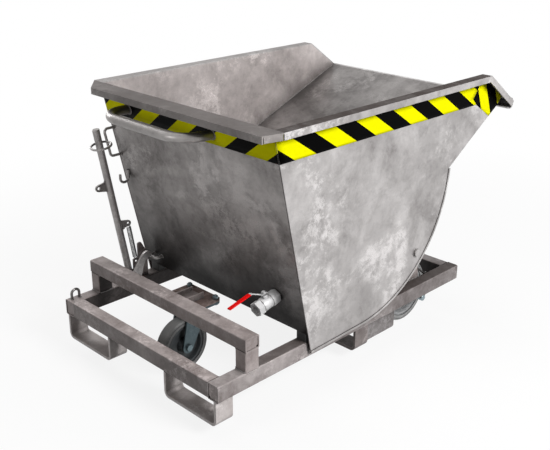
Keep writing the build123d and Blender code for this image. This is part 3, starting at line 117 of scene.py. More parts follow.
def closeMesh(mesh):  # doubles are merged and normals turned outwards, so poles and seams are closed
    work = bmesh.new()
    work.from_mesh(mesh)
    bmesh.ops.remove_doubles(work, verts=work.verts, dist=1e-6)
    bmesh.ops.dissolve_degenerate(work, edges=work.edges, dist=1e-7)
    bmesh.ops.recalc_face_normals(work, faces=work.faces)
    work.to_mesh(mesh)
    work.free()


def makePiece(name, grids, material, body, sharp=50.0, uv=None):
    # grids are (points, loopU, loopV), one after another in one mesh; a piece with a map stays an open sheet
    verts = np.concatenate([points.reshape(-1, 3) for points, loopU, loopV in grids])
    quads = []
    first = 0
    for points, loopU, loopV in grids:
        nu, nv = points.shape[:2]
        quads.append(gridFaces(nu, nv, loopU, loopV) + first)
        first += nu * nv
    quads = np.concatenate(quads)
    mesh = bpy.data.meshes.new(name)
    mesh.vertices.add(len(verts))
    mesh.vertices.foreach_set("co", verts.astype(np.float32).ravel())
    mesh.loops.add(quads.size)
    mesh.loops.foreach_set("vertex_index", quads.ravel().astype(np.int32))
    mesh.polygons.add(len(quads))
    mesh.polygons.foreach_set("loop_start", np.arange(0, quads.size, 4, dtype=np.int32))
    mesh.update(calc_edges=True)
    if uv is None:
        closeMesh(mesh)
    else:
        layer = mesh.uv_layers.new(name="UVMap")
        layer.uv.foreach_set("vector", uv[quads.ravel()].astype(np.float32).ravel())
    mesh.polygons.foreach_set("use_smooth", np.ones(len(mesh.polygons), bool))
    mesh.set_sharp_from_angle(angle=np.radians(sharp))
    mesh.materials.append(material)
    obj = bpy.data.objects.new(name, mesh)
    bpy.context.scene.collection.objects.link(obj)
    if body:
        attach(obj, body)
    return obj


def tubeGrid(path, up, radius, sides, loop=False):
    # a ring of points at the radius round each point of the path; open ends close on a middle point
    if loop:
        tangent = unit(np.roll(path, -1, 0) - np.roll(path, 1, 0))
    else:
        tangent = unit(np.gradient(path, axis=0))
    up = np.broadcast_to(np.asarray(up, float), path.shape)
    side = unit(np.cross(tangent, up))
    top = np.cross(side, tangent)
    angle = np.linspace(0, 2 * np.pi, sides, endpoint=False)
    ring = np.cos(angle)[None, :, None] * side[:, None] + np.sin(angle)[None, :, None] * top[:, None]
    radius = np.broadcast_to(np.asarray(radius, float), (len(path), sides))
    points = path[:, None] + ring * radius[..., None]
    if not loop:
        first, last = [np.repeat(path[i][None, None], sides, 1) for i in (0, -1)]
        points = np.concatenate([first, points, last])
    return points, loop, True


# Light, floor and world
studio = {
    "key": {"pos": (0.1, -3.8, 2.9), "size": 1.7, "power": 190.0},
    "top": {"pos": (0.5, 0.2, 4.2), "size": 2.6, "power": 36.0},
    "fill": {"pos": (-3.6, 0.35, 1.6), "size": 1.5, "power": 16.5},
    "far": {"pos": (-0.3, 4.4, 2.4), "size": 2.4, "power": 90.0},
    "aim": (0.05, 0.0, 0.5), "world": 0.05, "seen": 1.0,
}
floorValues = {"half": 40.0, "level": -0.0008, "tone": 0.2, "seenTone": 0.9, "fade": (0.9, 2.8, 0.86, 1.0)}


def makeLamp(name, v):  # round soft lamp turned to the aim
    data = bpy.data.lights.new(name, "AREA")
    data.shape = "DISK"
    data.size = v["size"]
    data.energy = v["power"]
    back = unit(np.array(v["pos"]) - np.array(studio["aim"]))
    right = unit(np.cross([0, 0, 1.0], back))
    setAxes(bpy.data.objects.new(name, data), right, np.cross(back, right), back, v["pos"])


for lampName in ("key", "top", "fill", "far"):
    makeLamp(lampName + "Lamp", studio[lampName])


# Node tools
def rgba(color):
    return tuple(color) + (1,)


def grey(tone):
    return (tone, tone, tone, 1)


def put(tree, value, socket):  # a number or a tuple is set, an output is linked
    if isinstance(value, (int, float, tuple)):
        socket.default_value = value
    else:
        tree.links.new(value, socket)


def addNode(tree, kind, at=None, **sets):  # at fills sockets, the rest sets the node's own fields
    n = tree.nodes.new(kind)
    for k, v in (at or {}).items():
        n.inputs[k].default_value = v
    for k, v in sets.items():
        setattr(n, k, v)
    return n


def sums(tree, op, a, b=None):  # one math node
    n = addNode(tree, "ShaderNodeMath", operation=op)
    put(tree, a, n.inputs[0])
    if b is not None:
        put(tree, b, n.inputs[1])
    return n.outputs[0]


def aboutHalf(tree, value, share):  # what the value has over one half, times a share
    return sums(tree, "MULTIPLY", sums(tree, "SUBTRACT", value, 0.5), share)


def vectors(tree, op, a, b=None):  # one vector node: its outputs are Vector and Value
    n = addNode(tree, "ShaderNodeVectorMath", operation=op)
    put(tree, a, n.inputs[0])
    if b is not None:
        put(tree, b, n.inputs[1])
    return n.outputs


def ramp(tree, value, a, b, c=0.0, d=1.0):  # straight ramp from a..b to c..d, held at its ends
    n = addNode(tree, "ShaderNodeMapRange", {"From Min": a, "From Max": b, "To Min": c, "To Max": d})
    put(tree, value, n.inputs["Value"])
    return n.outputs["Result"]


def blendColor(tree, amount, a, b, how="MIX"):
    n = addNode(tree, "ShaderNodeMix", data_type="RGBA", blend_type=how)
    put(tree, amount, n.inputs[0])
    put(tree, a, n.inputs[6])
    put(tree, b, n.inputs[7])
    return n.outputs[2]


def ownPlace(tree):
    return tree.nodes.new("ShaderNodeTexCoord").outputs["Object"]


def ownNormal(tree):  # the face's normal in the piece's own axes
    turn = addNode(
        tree, "ShaderNodeVectorTransform", vector_type="NORMAL", convert_from="WORLD", convert_to="OBJECT"
    )
    put(tree, tree.nodes.new("ShaderNodeNewGeometry").outputs["True Normal"], turn.inputs[0])
    return turn.outputs[0]


def splitVector(tree, vector):
    n = tree.nodes.new("ShaderNodeSeparateXYZ")
    put(tree, vector, n.inputs[0])
    return n.outputs


def noiseAt(tree, vector, scale, detail, rough, twist=0.0):
    n = addNode(tree, "ShaderNodeTexNoise", {"Detail": detail, "Roughness": rough, "Distortion": twist})
    put(tree, vector, n.inputs["Vector"])
    put(tree, scale, n.inputs["Scale"])
    return n.outputs["Fac"]


def seenRays(tree):  # camera, glossy and transmission rays, which see the pale background
    p = tree.nodes.new("ShaderNodeLightPath").outputs
    shiny = sums(tree, "ADD", p["Is Glossy Ray"], p["Is Transmission Ray"])
    return sums(tree, "MINIMUM", sums(tree, "ADD", p["Is Camera Ray"], shiny), 1.0)


def mixShaders(tree, share, a, b, outKind):  # two shaders mixed by a share into the tree's output
    mix = tree.nodes.new("ShaderNodeMixShader")
    put(tree, share, mix.inputs[0])
    put(tree, a.outputs[0], mix.inputs[1])
    put(tree, b.outputs[0], mix.inputs[2])
    put(tree, mix.outputs[0], tree.nodes.new(outKind).inputs[0])


def makeWorld(v):  # pale where it is seen, dim as a light
    world = bpy.data.worlds.new("studioWorld")
    bpy.context.scene.world = world
    world.use_nodes = True
    tree = world.node_tree
    tree.nodes.clear()
    dim = addNode(tree, "ShaderNodeBackground", {"Color": grey(1), "Strength": v["world"]})
    pale = addNode(tree, "ShaderNodeBackground", {"Color": grey(1), "Strength": v["seen"]})
    mixShaders(tree, seenRays(tree), dim, pale, "ShaderNodeOutputWorld")


def makeFloor(v):
    # wide pale sheet: seen directly it is white far off and keeps a soft shadow near the object;
    # it throws little light back up
    mat = bpy.data.materials.new("paleFloor")
    mat.use_nodes = True
    tree = mat.node_tree
    tree.nodes.clear()
    matt = tree.nodes.new("ShaderNodeBsdfDiffuse")
    color = blendColor(tree, seenRays(tree), grey(v["tone"]), grey(v["seenTone"]))
    put(tree, color, matt.inputs["Color"])
    white = addNode(tree, "ShaderNodeEmission", {"Color": grey(1), "Strength": 1.0})
    away = vectors(tree, "LENGTH", ownPlace(tree))["Value"]
    share = sums(tree, "MULTIPLY", seenRays(tree), ramp(tree, away, *v["fade"]))
    mixShaders(tree, share, matt, white, "ShaderNodeOutputMaterial")
    side = np.linspace(-v["half"], v["half"], 3)
    x, y = np.meshgrid(side, side, indexing="ij")
    points = np.stack([x, y, np.full_like(x, v["level"])], -1).reshape(-1, 3)
    mesh = bpy.data.meshes.new("floor")
    mesh.from_pydata(points.tolist(), [], gridFaces(3, 3, False, False).tolist())
    mesh.materials.append(mat)
    obj = bpy.data.objects.new("floor", mesh)
    bpy.context.scene.collection.objects.link(obj)


makeWorld(studio)
makeFloor(floorValues)
bpy.context.scene.view_settings.view_transform = "Standard"
print("light and floor set")


# Shared surface effects
def newGroup(name, takes, gives):  # takes has each input's start value, gives each output's kind
    kinds = {1: "NodeSocketFloat", 3: "NodeSocketVector", 4: "NodeSocketColor"}
    g = bpy.data.node_groups.new(name, "ShaderNodeTree")
    for socketName, value in takes.items():
        socket = g.interface.new_socket(socketName, in_out="INPUT", socket_type=kinds[np.size(value)])
        socket.default_value = value
    for socketName, kind in gives.items():
        g.interface.new_socket(socketName, in_out="OUTPUT", socket_type=kind)
    return g, g.nodes.new("NodeGroupInput").outputs, g.nodes.new("NodeGroupOutput").inputs


# Noises of the raw sheet: share of the sheet's scale, detail, roughness and twist
cloudNoise = {
    "broad": (1.0, 6.0, 0.6, 0.5),
    "torn": (2.6, 10.0, 0.72, 0.35),
    "small": (8.0, 8.0, 0.74, 0.2),
    "flake": (4.4, 14.0, 0.86, 0.12),
    "cluster": (1.15, 3.0, 0.5, 0.3),
    "drawn": (2.2, 6.0, 0.65, 0.2),
}
cloudValues = {
    "torn": (0.46, 0.68, 0.0, 0.3), "small": (0.32, 0.52, 0.2, 0.0),
    "flake": (0.49, 0.60, 0.0, 1.15), "cluster": (0.49, 0.62),
    "broad": 1.6, "drawn": 2.0, "base": 0.36, "turn": (0.5, 0.35, 0.4), "stretch": (3.0, 3.0, 0.7),
    "fineNoise": (420.0, 2.0, 0.6), "fine": 0.16, "fineGrain": 0.6, "smallGrain": 0.5,
}


def buildMillCloud(v):
    # raw sheet: broad soft patches, faint wisps, clusters of torn light flakes, drawn streaks and fine grain
    # add up round a base and lie between the dark and the light colour
    g, take, give = newGroup(
        "millCloud",
        {"Dark": grey(0.2), "Light": grey(0.6), "Scale": 5.0, "Contrast": 1.0, "Streaks": 0.2},
        {"Color": "NodeSocketColor", "Cloud": "NodeSocketFloat", "Grain": "NodeSocketFloat"},
    )
    where = ownPlace(g)
    bent = addNode(g, "ShaderNodeMapping", {"Rotation": v["turn"], "Scale": v["stretch"]})
    put(g, where, bent.inputs["Vector"])
    noise = {}
    for name, (share, detail, rough, twist) in cloudNoise.items():
        at = bent.outputs[0] if name == "drawn" else where
        noise[name] = noiseAt(g, at, sums(g, "MULTIPLY", take["Scale"], share), detail, rough, twist)
    fine = noiseAt(g, where, *v["fineNoise"])
    parts = {k: ramp(g, noise[k], *v[k]) for k in ("torn", "small", "flake", "cluster")}
    wisps = sums(g, "SUBTRACT", parts["torn"], parts["small"])
    wisps = sums(g, "ADD", wisps, sums(g, "MULTIPLY", parts["flake"], parts["cluster"]))
    mixed = sums(g, "ADD", aboutHalf(g, noise["broad"], v["broad"]), wisps)
    streaks = aboutHalf(g, noise["drawn"], sums(g, "MULTIPLY", take["Streaks"], v["drawn"]))
    mixed = sums(g, "MULTIPLY", sums(g, "ADD", mixed, streaks), take["Contrast"])
    cloud = ramp(g, sums(g, "ADD", mixed, v["base"]), 0.0, 1.0)
    tone = sums(g, "ADD", cloud, aboutHalf(g, fine, v["fine"]))
    fineGrain = sums(g, "MULTIPLY", fine, v["fineGrain"])
    smallGrain = sums(g, "MULTIPLY", noise["small"], v["smallGrain"])
    put(g, blendColor(g, tone, take["Dark"], take["Light"]), give["Color"])
    put(g, cloud, give["Cloud"])
    put(g, sums(g, "ADD", fineGrain, smallGrain), give["Grain"])
    return g


maskOnly = {"Mask": "NodeSocketFloat"}
wearValues = {"samples": 4, "lean": (0.01, 0.16), "noise": (38.0, 4.0, 0.7), "rub": (0.32, 0.62)}


def buildEdgeWear(v):  # edges: how far the rounded normal leans from the face's own, broken up by noise
    g, take, give = newGroup("edgeWear", {"Radius": 0.003}, maskOnly)
    soft = addNode(g, "ShaderNodeBevel", samples=v["samples"])
    put(g, take["Radius"], soft.inputs["Radius"])
    own = g.nodes.new("ShaderNodeNewGeometry").outputs["Normal"]
    same = vectors(g, "DOT_PRODUCT", soft.outputs[0], own)["Value"]
    edge = ramp(g, sums(g, "SUBTRACT", 1.0, same), *v["lean"])
    rubbed = ramp(g, noiseAt(g, ownPlace(g), *v["noise"]), *v["rub"])
    put(g, sums(g, "MULTIPLY", edge, rubbed), give["Mask"])
    return g


cornerSootAndShadeValues = {
    "samples": 6, "closed": (0.35, 0.95, 1.0, 0.0), "noise": (24.0, 5.0, 0.65),
    "base": 0.45, "rim": (0.05, 0.8),
}


def buildCornerSootAndShade(v):  # soot and painted shade in corners where little light reaches, uneven at the border
    g, take, give = newGroup("cornerGrime", {"Reach": 0.05}, maskOnly)
    hollow = addNode(g, "ShaderNodeAmbientOcclusion", samples=v["samples"])
    put(g, take["Reach"], hollow.inputs["Distance"])
    dust = sums(g, "ADD", noiseAt(g, ownPlace(g), *v["noise"]), v["base"])
    closed = ramp(g, hollow.outputs["AO"], *v["closed"])
    put(g, ramp(g, sums(g, "MULTIPLY", closed, dust), *v["rim"]), give["Mask"])
    return g


faceShadeValues = {"look": (0.72, 0.9), "noise": (14.0, 7.0, 0.68, 0.6), "patch": (0.3, 0.62, 0.86, 1.0)}


def buildFacePaintedShade(v):  # painted shade on faces that look one way on the piece itself, thinned by noise
    g, take, give = newGroup("faceDirt", {"Look": (0.0, 0.0, 1.0), "Amount": 0.5}, maskOnly)
    faces = ramp(g, vectors(g, "DOT_PRODUCT", ownNormal(g), take["Look"])["Value"], *v["look"])
    patch = ramp(g, noiseAt(g, ownPlace(g), *v["noise"]), *v["patch"])
    put(g, sums(g, "MULTIPLY", sums(g, "MULTIPLY", faces, patch), take["Amount"]), give["Mask"])
    return g


innerShadeValues = {
    "look": (-0.9, -0.72, 1.0, 0.0), "noise": (11.0, 7.0, 0.68, 0.6), "patch": (0.3, 0.62, 0.8, 1.0),
}


def buildInnerPaintedShade(v):  # painted shade on faces that look to the middle: the normal in x or y is against the place's own sign
    g, take, give = newGroup("innerDirt", {"Amount": 0.5}, maskOnly)
    sign = vectors(g, "SIGN", ownPlace(g))["Vector"]
    outward = splitVector(g, vectors(g, "MULTIPLY", ownNormal(g), sign)["Vector"])
    faces = ramp(g, sums(g, "MINIMUM", outward[0], outward[1]), *v["look"])
    patch = ramp(g, noiseAt(g, ownPlace(g), *v["noise"]), *v["patch"])
    put(g, sums(g, "MULTIPLY", sums(g, "MULTIPLY", faces, patch), take["Amount"]), give["Mask"])
    return g


millCloud = buildMillCloud(cloudValues)
edgeWear = buildEdgeWear(wearValues)
cornerGrime = buildCornerSootAndShade(cornerSootAndShadeValues)
faceDirt = buildFacePaintedShade(faceShadeValues)
innerDirt = buildInnerPaintedShade(innerShadeValues)


# Finishes
def placeGroup(tree, group, **values):
    n = tree.nodes.new("ShaderNodeGroup")
    n.node_tree = group
    for k, v in values.items():
        n.inputs[k].default_value = v
    return n.outputs


def placeCloud(tree, v):
    return placeGroup(
        tree, millCloud, Dark=rgba(v["dark"]), Light=rgba(v["light"]),
        Scale=v["scale"], Contrast=v["contrast"], Streaks=v["streaks"],
    )


def startMaterial(name, metal=0.0, shine=0.5):
    mat = bpy.data.materials.new(name)
    mat.use_nodes = True
    tree = mat.node_tree
    shader = tree.nodes["Principled BSDF"].inputs
    shader["Metallic"].default_value = metal
    shader["Specular IOR Level"].default_value = shine
    return mat, tree, shader


def finishShader(tree, shader, color, rough, height, v):  # colour, roughness and a bump of the height
    put(tree, color, shader["Base Color"])
    put(tree, rough, shader["Roughness"])
    n = addNode(tree, "ShaderNodeBump", {"Strength": v["bump"], "Distance": v["depth"]})
    put(tree, height, n.inputs["Height"])
    put(tree, n.outputs[0], shader["Normal"])


def cover(tree, mask, share, color, coat):  # a coat over the colour where the mask lies
    return blendColor(tree, sums(tree, "MULTIPLY", mask, share), color, rgba(coat))


# painted shade: roughness under it, ramp length past a station, and the near-black colour of inner faces
paintedShadeValues = {"rough": 0.85, "run": 0.06, "inner": (0.018, 0.015, 0.014)}


def makeCoat(name, v):
    # cloudy base, then what the values ask for: soot and painted shade in corners, painted shade on faces
    # that look one way, rubbed edges, painted shade on inner faces, and painted shade as a brightness and
    # shine that run along one axis
    mat, tree, shader = startMaterial(name, v["metal"], v["shine"])
    cloud = placeCloud(tree, v)
    color = cloud["Color"]
    rough = ramp(tree, cloud["Cloud"], 0.0, 1.0, *v["rough"])
    if "grime" in v:
        # soot and painted shade in the corners
        mask = placeGroup(tree, cornerGrime, Reach=v["reach"])["Mask"]
        color = cover(tree, mask, v["grime"], color, v["soot"])
    if "dirt" in v:
        # painted shade on faces that look one way, darker and rougher
        dirt = v["dirt"]
        mask = placeGroup(tree, faceDirt, Look=dirt.get("look", (0, 0, 1)), Amount=dirt["amount"])["Mask"]
        if "after" in dirt:  # only past a station along x
            along = splitVector(tree, ownPlace(tree))[0]
            past = ramp(tree, along, dirt["after"], dirt["after"] + paintedShadeValues["run"])
            mask = sums(tree, "MULTIPLY", mask, past)
        color = blendColor(tree, mask, color, rgba(dirt["color"]))
        rough = sums(tree, "MAXIMUM", rough, sums(tree, "MULTIPLY", mask, paintedShadeValues["rough"]))
    if "wear" in v:
        mask = placeGroup(tree, edgeWear, Radius=v["edge"])["Mask"]
        color = cover(tree, mask, v["wear"], color, v["bare"])
    if "inner" in v:
        # painted shade: inner faces near black
        mask = placeGroup(tree, innerDirt, Amount=v["inner"])["Mask"]
        color = blendColor(tree, mask, color, rgba(paintedShadeValues["inner"]))
    if "fade" in v:
        # painted shade: brightness and shine fall along one axis
        axis, start, end, first, last = v["fade"]
        share = ramp(tree, splitVector(tree, ownPlace(tree))[axis], start, end, first, last)
        color = blendColor(tree, 1.0, color, share, "MULTIPLY")
        put(tree, sums(tree, "MULTIPLY", share, v["shine"]), shader["Specular IOR Level"])
    finishShader(tree, shader, color, rough, cloud["Grain"], v)
    return mat


# One entry for each steel slot: dark and light cloud, soot and painted shade in its corners, bare metal on
# its edges
steels = {
    "hopper_steel": {
        "metal": 0.45, "shine": 0.4, "dark": (0.25, 0.234, 0.23), "light": (0.79, 0.762, 0.754),
        "scale": 3.3, "contrast": 0.84, "streaks": 0.03, "reach": 0.10, "grime": 0.7,
        "soot": (0.05, 0.045, 0.042), "edge": 0.0025, "wear": 0.35, "bare": (0.66, 0.635, 0.63),
        "rough": (0.42, 0.27), "bump": 0.05, "depth": 0.0006,
    },
    "frame_steel": {
        "metal": 0.06, "shine": 0.2, "dark": (0.21, 0.172, 0.164), "light": (0.66, 0.586, 0.572),
        "scale": 7.5, "contrast": 0.9, "streaks": 0.08, "reach": 0.07, "grime": 0.8,
        "soot": (0.028, 0.023, 0.02), "edge": 0.0035, "wear": 0.5, "bare": (0.66, 0.595, 0.58),
        "rough": (0.50, 0.36), "bump": 0.1, "depth": 0.0006,
    },
    "lever_steel": {
        "metal": 0.3, "shine": 0.4, "dark": (0.31, 0.293, 0.286), "light": (0.7, 0.667, 0.656),
        "scale": 16.0, "contrast": 0.9, "streaks": 0.2, "reach": 0.03, "grime": 0.65,
        "soot": (0.03, 0.026, 0.024), "edge": 0.0025, "wear": 0.5, "bare": (0.58, 0.55, 0.54),
        "rough": (0.46, 0.32), "bump": 0.12, "depth": 0.0006,
    },
    "bright_steel": {
        "metal": 0.85, "shine": 0.5, "dark": (0.095, 0.09, 0.087), "light": (0.23, 0.222, 0.218),
        "scale": 22.0, "contrast": 0.8, "streaks": 0.2, "reach": 0.02, "grime": 0.75,
        "soot": (0.03, 0.028, 0.026), "edge": 0.0015, "wear": 0.4, "bare": (0.7, 0.7, 0.7),
        "rough": (0.34, 0.2), "bump": 0.04, "depth": 0.0006,
    },
    "valve_steel": {
        "metal": 0.22, "shine": 0.4, "dark": (0.68, 0.677, 0.68), "light": (0.88, 0.876, 0.88),
        "scale": 30.0, "contrast": 0.7, "streaks": 0.1, "reach": 0.012, "grime": 0.85,
        "soot": (0.035, 0.034, 0.033), "edge": 0.0012, "wear": 0.4, "bare": (0.86, 0.86, 0.86),
        "rough": (0.6, 0.5), "bump": 0.12, "depth": 0.0006,
    },
}
finish = {slot: makeCoat(slot.split("_")[0] + "Steel", v) for slot, v in steels.items()}

zincValues = {
    "metal": 0.7, "dark": (0.05, 0.072, 0.081), "light": (0.105, 0.142, 0.157), "cells": 130.0,
    "cellShare": 0.35, "scale": 26.0, "contrast": 0.9, "streaks": 0.2, "reach": 0.02, "grime": 0.7,
    "soot": (0.04, 0.045, 0.048), "rough": (0.46, 0.3), "bump": 0.12, "depth": 0.0004,
}


def makeZinc(name, v):  # plated sheet: small crystal cells of slightly different tone over faint clouds
    mat, tree, shader = startMaterial(name, v["metal"])
    cells = addNode(tree, "ShaderNodeTexVoronoi", {"Scale": v["cells"], "Randomness": 1.0})
    put(tree, ownPlace(tree), cells.inputs["Vector"])
    tone = tree.nodes.new("ShaderNodeSeparateColor")
    put(tree, cells.outputs["Color"], tone.inputs[0])
    cloud = placeCloud(tree, v)
    # soot and painted shade in the corners
    mask = placeGroup(tree, cornerGrime, Reach=v["reach"])["Mask"]
    share = ramp(tree, tone.outputs[0], 0.0, 1.0, 0.0, v["cellShare"])
    color = blendColor(tree, share, cloud["Color"], rgba(v["light"]))
    color = cover(tree, mask, v["grime"], color, v["soot"])
    rough = ramp(tree, tone.outputs[1], 0.0, 1.0, *v["rough"])
    finishShader(tree, shader, color, rough, cloud["Grain"], v)
    return mat


finish["zinc_plate"] = makeZinc("bluedZinc", zincValues)

# Moulded or cast surfaces: two close tones, pebbled grain, dust and painted shade in the corners
mattValues = {
    "metal": 0.0, "shine": 0.5, "contrast": 0.9, "streaks": 0.1, "reach": 0.02, "edge": 0.002, "wear": 0.35,
    "rough": (0.6, 0.45), "bump": 0.15, "depth": 0.0005,
}
rubberValues = dict(
    mattValues, dark=(0.022, 0.022, 0.022), light=(0.05, 0.05, 0.05), scale=30.0, grime=0.3,
    soot=(0.09, 0.085, 0.08), bare=(0.1, 0.1, 0.1), rough=(0.75, 0.6), bump=0.3,
)
frontCoreValues = dict(
    mattValues, dark=(0.28, 0.285, 0.289), light=(0.46, 0.465, 0.469), scale=18.0, grime=0.6,
    soot=(0.05, 0.05, 0.05), bare=(0.5, 0.5, 0.5),
)
rearCoreValues = dict(
    mattValues, dark=(0.022, 0.026, 0.028), light=(0.048, 0.054, 0.058), scale=22.0, grime=0.5,
    soot=(0.012, 0.012, 0.012), bare=(0.12, 0.12, 0.12),
)
finish["rubber"] = makeCoat("blackRubber", rubberValues)
finish["wheel_core"] = makeCoat("frontCore", frontCoreValues)

# Turned bush, browned unevenly
bronzeValues = {
    "metal": 0.9, "shine": 0.5, "dark": (0.30, 0.19, 0.08), "light": (0.56, 0.40, 0.2), "scale": 40.0,
    "contrast": 1.0, "streaks": 0.3, "rough": (0.5, 0.3), "bump": 0.15, "depth": 0.0003,
}
finish["bush_bronze"] = makeCoat("bushBronze", bronzeValues)

# Dipped sleeve: even red with faint runs, and dirt and painted shade at its mouth
gripValues = {
    "metal": 0.0, "shine": 0.12, "dark": (0.85, 0.002, 0.002), "light": (0.98, 0.004, 0.004), "scale": 45.0,
    "contrast": 0.7, "streaks": 0.3, "reach": 0.006, "grime": 0.5, "soot": (0.2, 0.005, 0.005),
    "rough": (0.42, 0.3), "bump": 0.1, "depth": 0.0004,
}
finish["grip_red"] = makeCoat("dippedRed", gripValues)

# Tyres: distances from the axle in metres
tyreValues = {
    "lineHalf": (0.0006, 0.0016), "lineShare": 0.85, "lineColor": (0.02, 0.02, 0.02), "footRun": 0.002,
    "tread": (0.004, 0.0005), "scuffShare": 0.6, "scale": 24.0, "contrast": 1.0, "streaks": 0.2,
    "rough": (0.72, 0.55), "grain": 0.3, "bump": 0.35, "depth": 0.0008,
}
frontTyreValues = dict(
    tyreValues, axle=(0.323, 0.125), radius=0.125, line=0.1165, foot=0.1035,
    dark=(0.25, 0.25, 0.248), light=(0.42, 0.418, 0.415), scuff=(0.36, 0.356, 0.352),
)
rearTyreValues = dict(
    tyreValues, axle=(-0.554, 0.1), radius=0.1, line=0.0925, foot=0.0808,
    dark=(0.125, 0.125, 0.125), light=(0.22, 0.22, 0.218), scuff=(0.3, 0.296, 0.29),
)


def makeTyre(name, v):
    # tread rubber: a moulded line and a dark foot by the distance from the axle, the foot painted shade of
    # the recess at the core; scuffs on the running face
    mat, tree, shader = startMaterial(name)
    axle = {"Location": (-v["axle"][0], 0.0, -v["axle"][1]), "Scale": (1.0, 0.0, 1.0)}
    where = addNode(tree, "ShaderNodeMapping", axle)
    put(tree, ownPlace(tree), where.inputs["Vector"])
    far = vectors(tree, "LENGTH", where.outputs[0])["Value"]
    near, wide = v["lineHalf"]
    inside = ramp(tree, far, v["line"] - wide, v["line"] - near)
    outside = ramp(tree, far, v["line"] + near, v["line"] + wide, 1.0, 0.0)
    line = sums(tree, "MULTIPLY", inside, outside)
    # painted shade: the dark foot inside the line, where the tyre meets the core
    foot = ramp(tree, far, v["foot"], v["foot"] + v["footRun"], 1.0, 0.0)
    run = ramp(tree, far, v["radius"] - v["tread"][0], v["radius"] - v["tread"][1])
    cloud = placeCloud(tree, v)
    color = cover(tree, run, v["scuffShare"], cloud["Color"], v["scuff"])
    color = cover(tree, sums(tree, "MAXIMUM", line, foot), v["lineShare"], color, v["lineColor"])
    rough = ramp(tree, cloud["Cloud"], 0.0, 1.0, *v["rough"])
    height = sums(tree, "SUBTRACT", sums(tree, "MULTIPLY", cloud["Grain"], v["grain"]), line)
    finishShader(tree, shader, color, rough, height, v)
    return mat


finish["tread"] = makeTyre("frontTread", frontTyreValues)

weldValues = dict(
    steels["frame_steel"], dark=(0.16, 0.15, 0.146), light=(0.36, 0.34, 0.335),
    scale=60.0, metal=0.4, wear=0.3,
)
seamAndShadowValues = dict(weldValues, dark=(0.05, 0.046, 0.044), light=(0.13, 0.122, 0.118), wear=0.1)
weldFinish = makeCoat("weldSteel", weldValues)
seamAndShadowFinish = makeCoat("seamSteel", seamAndShadowValues)

# Per-node changes to a slot's finish, several of them painted light and shade: tone is the share of the
# slot's brightness in red, green and blue
# rear straps brighter than the frame: painted light on straps that lie in shade
rearStrapPaintedLight = {"dark": (0.54, 0.485, 0.47), "light": (0.94, 0.885, 0.87)}
frontStrap = {"tone": (0.6, 0.6, 0.6)}
nodeToneAndShade = {
    # darker tone and darker top faces: painted shade
    "rear_rim": {
        "tone": (0.66, 0.632, 0.618), "metal": 0.12, "shine": 0.15,
        "dirt": {"amount": 0.8, "color": (0.085, 0.074, 0.07)},
    },
    # top faces near black: painted shade
    "side_rim_right": {"metal": 0.12, "shine": 0.1, "dirt": {"amount": 0.97, "color": (0.04, 0.03, 0.027)}},
    # darker top faces: painted shade
    "side_rim_left": {"metal": 0.12, "shine": 0.2, "dirt": {"amount": 0.6, "color": (0.16, 0.14, 0.133)}},
    # darker sheet, darker towards the bottom: painted shade
    "rear_wall": {
        "tone": (0.7, 0.682, 0.674), "contrast": 1.3, "metal": 0.25, "shine": 0.25,
        "fade": (2, 0.28, 0.55, 0.1, 1.0),
    },
    # floor sheet and chute darker than the other sheets: painted shade
    "floor_sheet": {"tone": (0.52, 0.507, 0.498)},
    "chute_plate": {"tone": (0.42, 0.41, 0.403), "contrast": 1.4},
    # brighter than the other sheets: painted light
    "side_plate_left": {"tone": (1.22, 1.16, 1.145)},
    # darker towards the front: painted shade
    "side_plate_right": {"fade": (0, 0.1, 0.6, 1.0, 0.92)},
    "push_handle": {"tone": (0.75, 0.74, 0.73)},
    # brighter than the frame: painted light on a part that lies in shadow
    "lever_bracket": {"dark": (0.37, 0.3, 0.285), "light": (0.92, 0.82, 0.8)},
    "caster_mount_plate": {"tone": (0.55, 0.47, 0.44)},
    # inner faces near black and darker towards the front: painted shade; tops darker past a station: painted
    # shadow of the hopper
    "side_rail_right": {
        "tone": (0.97, 1.0, 1.01), "inner": 0.85, "fade": (0, -0.45, 0.25, 1.0, 0.66),
        "dirt": {"amount": 0.78, "color": (0.07, 0.054, 0.048), "after": -0.6},
    },
    # inner faces near black: painted shadow of the hopper
    "side_rail_left": {"inner": 0.92},
    "guard_posts": {"inner": 0.92},
    # inner face near black: painted shade
    "front_cross_rail": {"tone": (0.6, 0.62, 0.63), "inner": 0.95},
    "fork_guides": {"tone": (0.52, 0.55, 0.56)},
    "fork_strap_rear_right": rearStrapPaintedLight,
    "fork_strap_rear_left": rearStrapPaintedLight,
    "fork_strap_front_right": frontStrap,
    "fork_strap_front_left": frontStrap,
    # rear faces darker: painted shade
    "rear_cross_rail": {"dirt": {"amount": 0.5, "color": (0.1, 0.094, 0.092), "look": (-1, 0, 0)}},
    "guard_bar": {"dirt": {"amount": 0.4, "color": (0.1, 0.09, 0.087), "look": (-1, 0, 0)}},
    # rear-facing end darker: painted shade
    "valve_body": {"dirt": {"amount": 0.6, "color": (0.1, 0.1, 0.102), "look": (-0.975, 0, -0.2215)}},
}
boltValues = dict(zincValues, dark=(0.2, 0.26, 0.285), light=(0.36, 0.44, 0.47))
axleValues = dict(zincValues, dark=(0.1, 0.14, 0.156), light=(0.2, 0.26, 0.284))


def toned(v, tone):  # all four colours times the tone
    tones = {k: tuple(float(c) for c in np.array(v[k]) * tone) for k in ("dark", "light", "bare", "soot")}
    return dict(v, **tones)


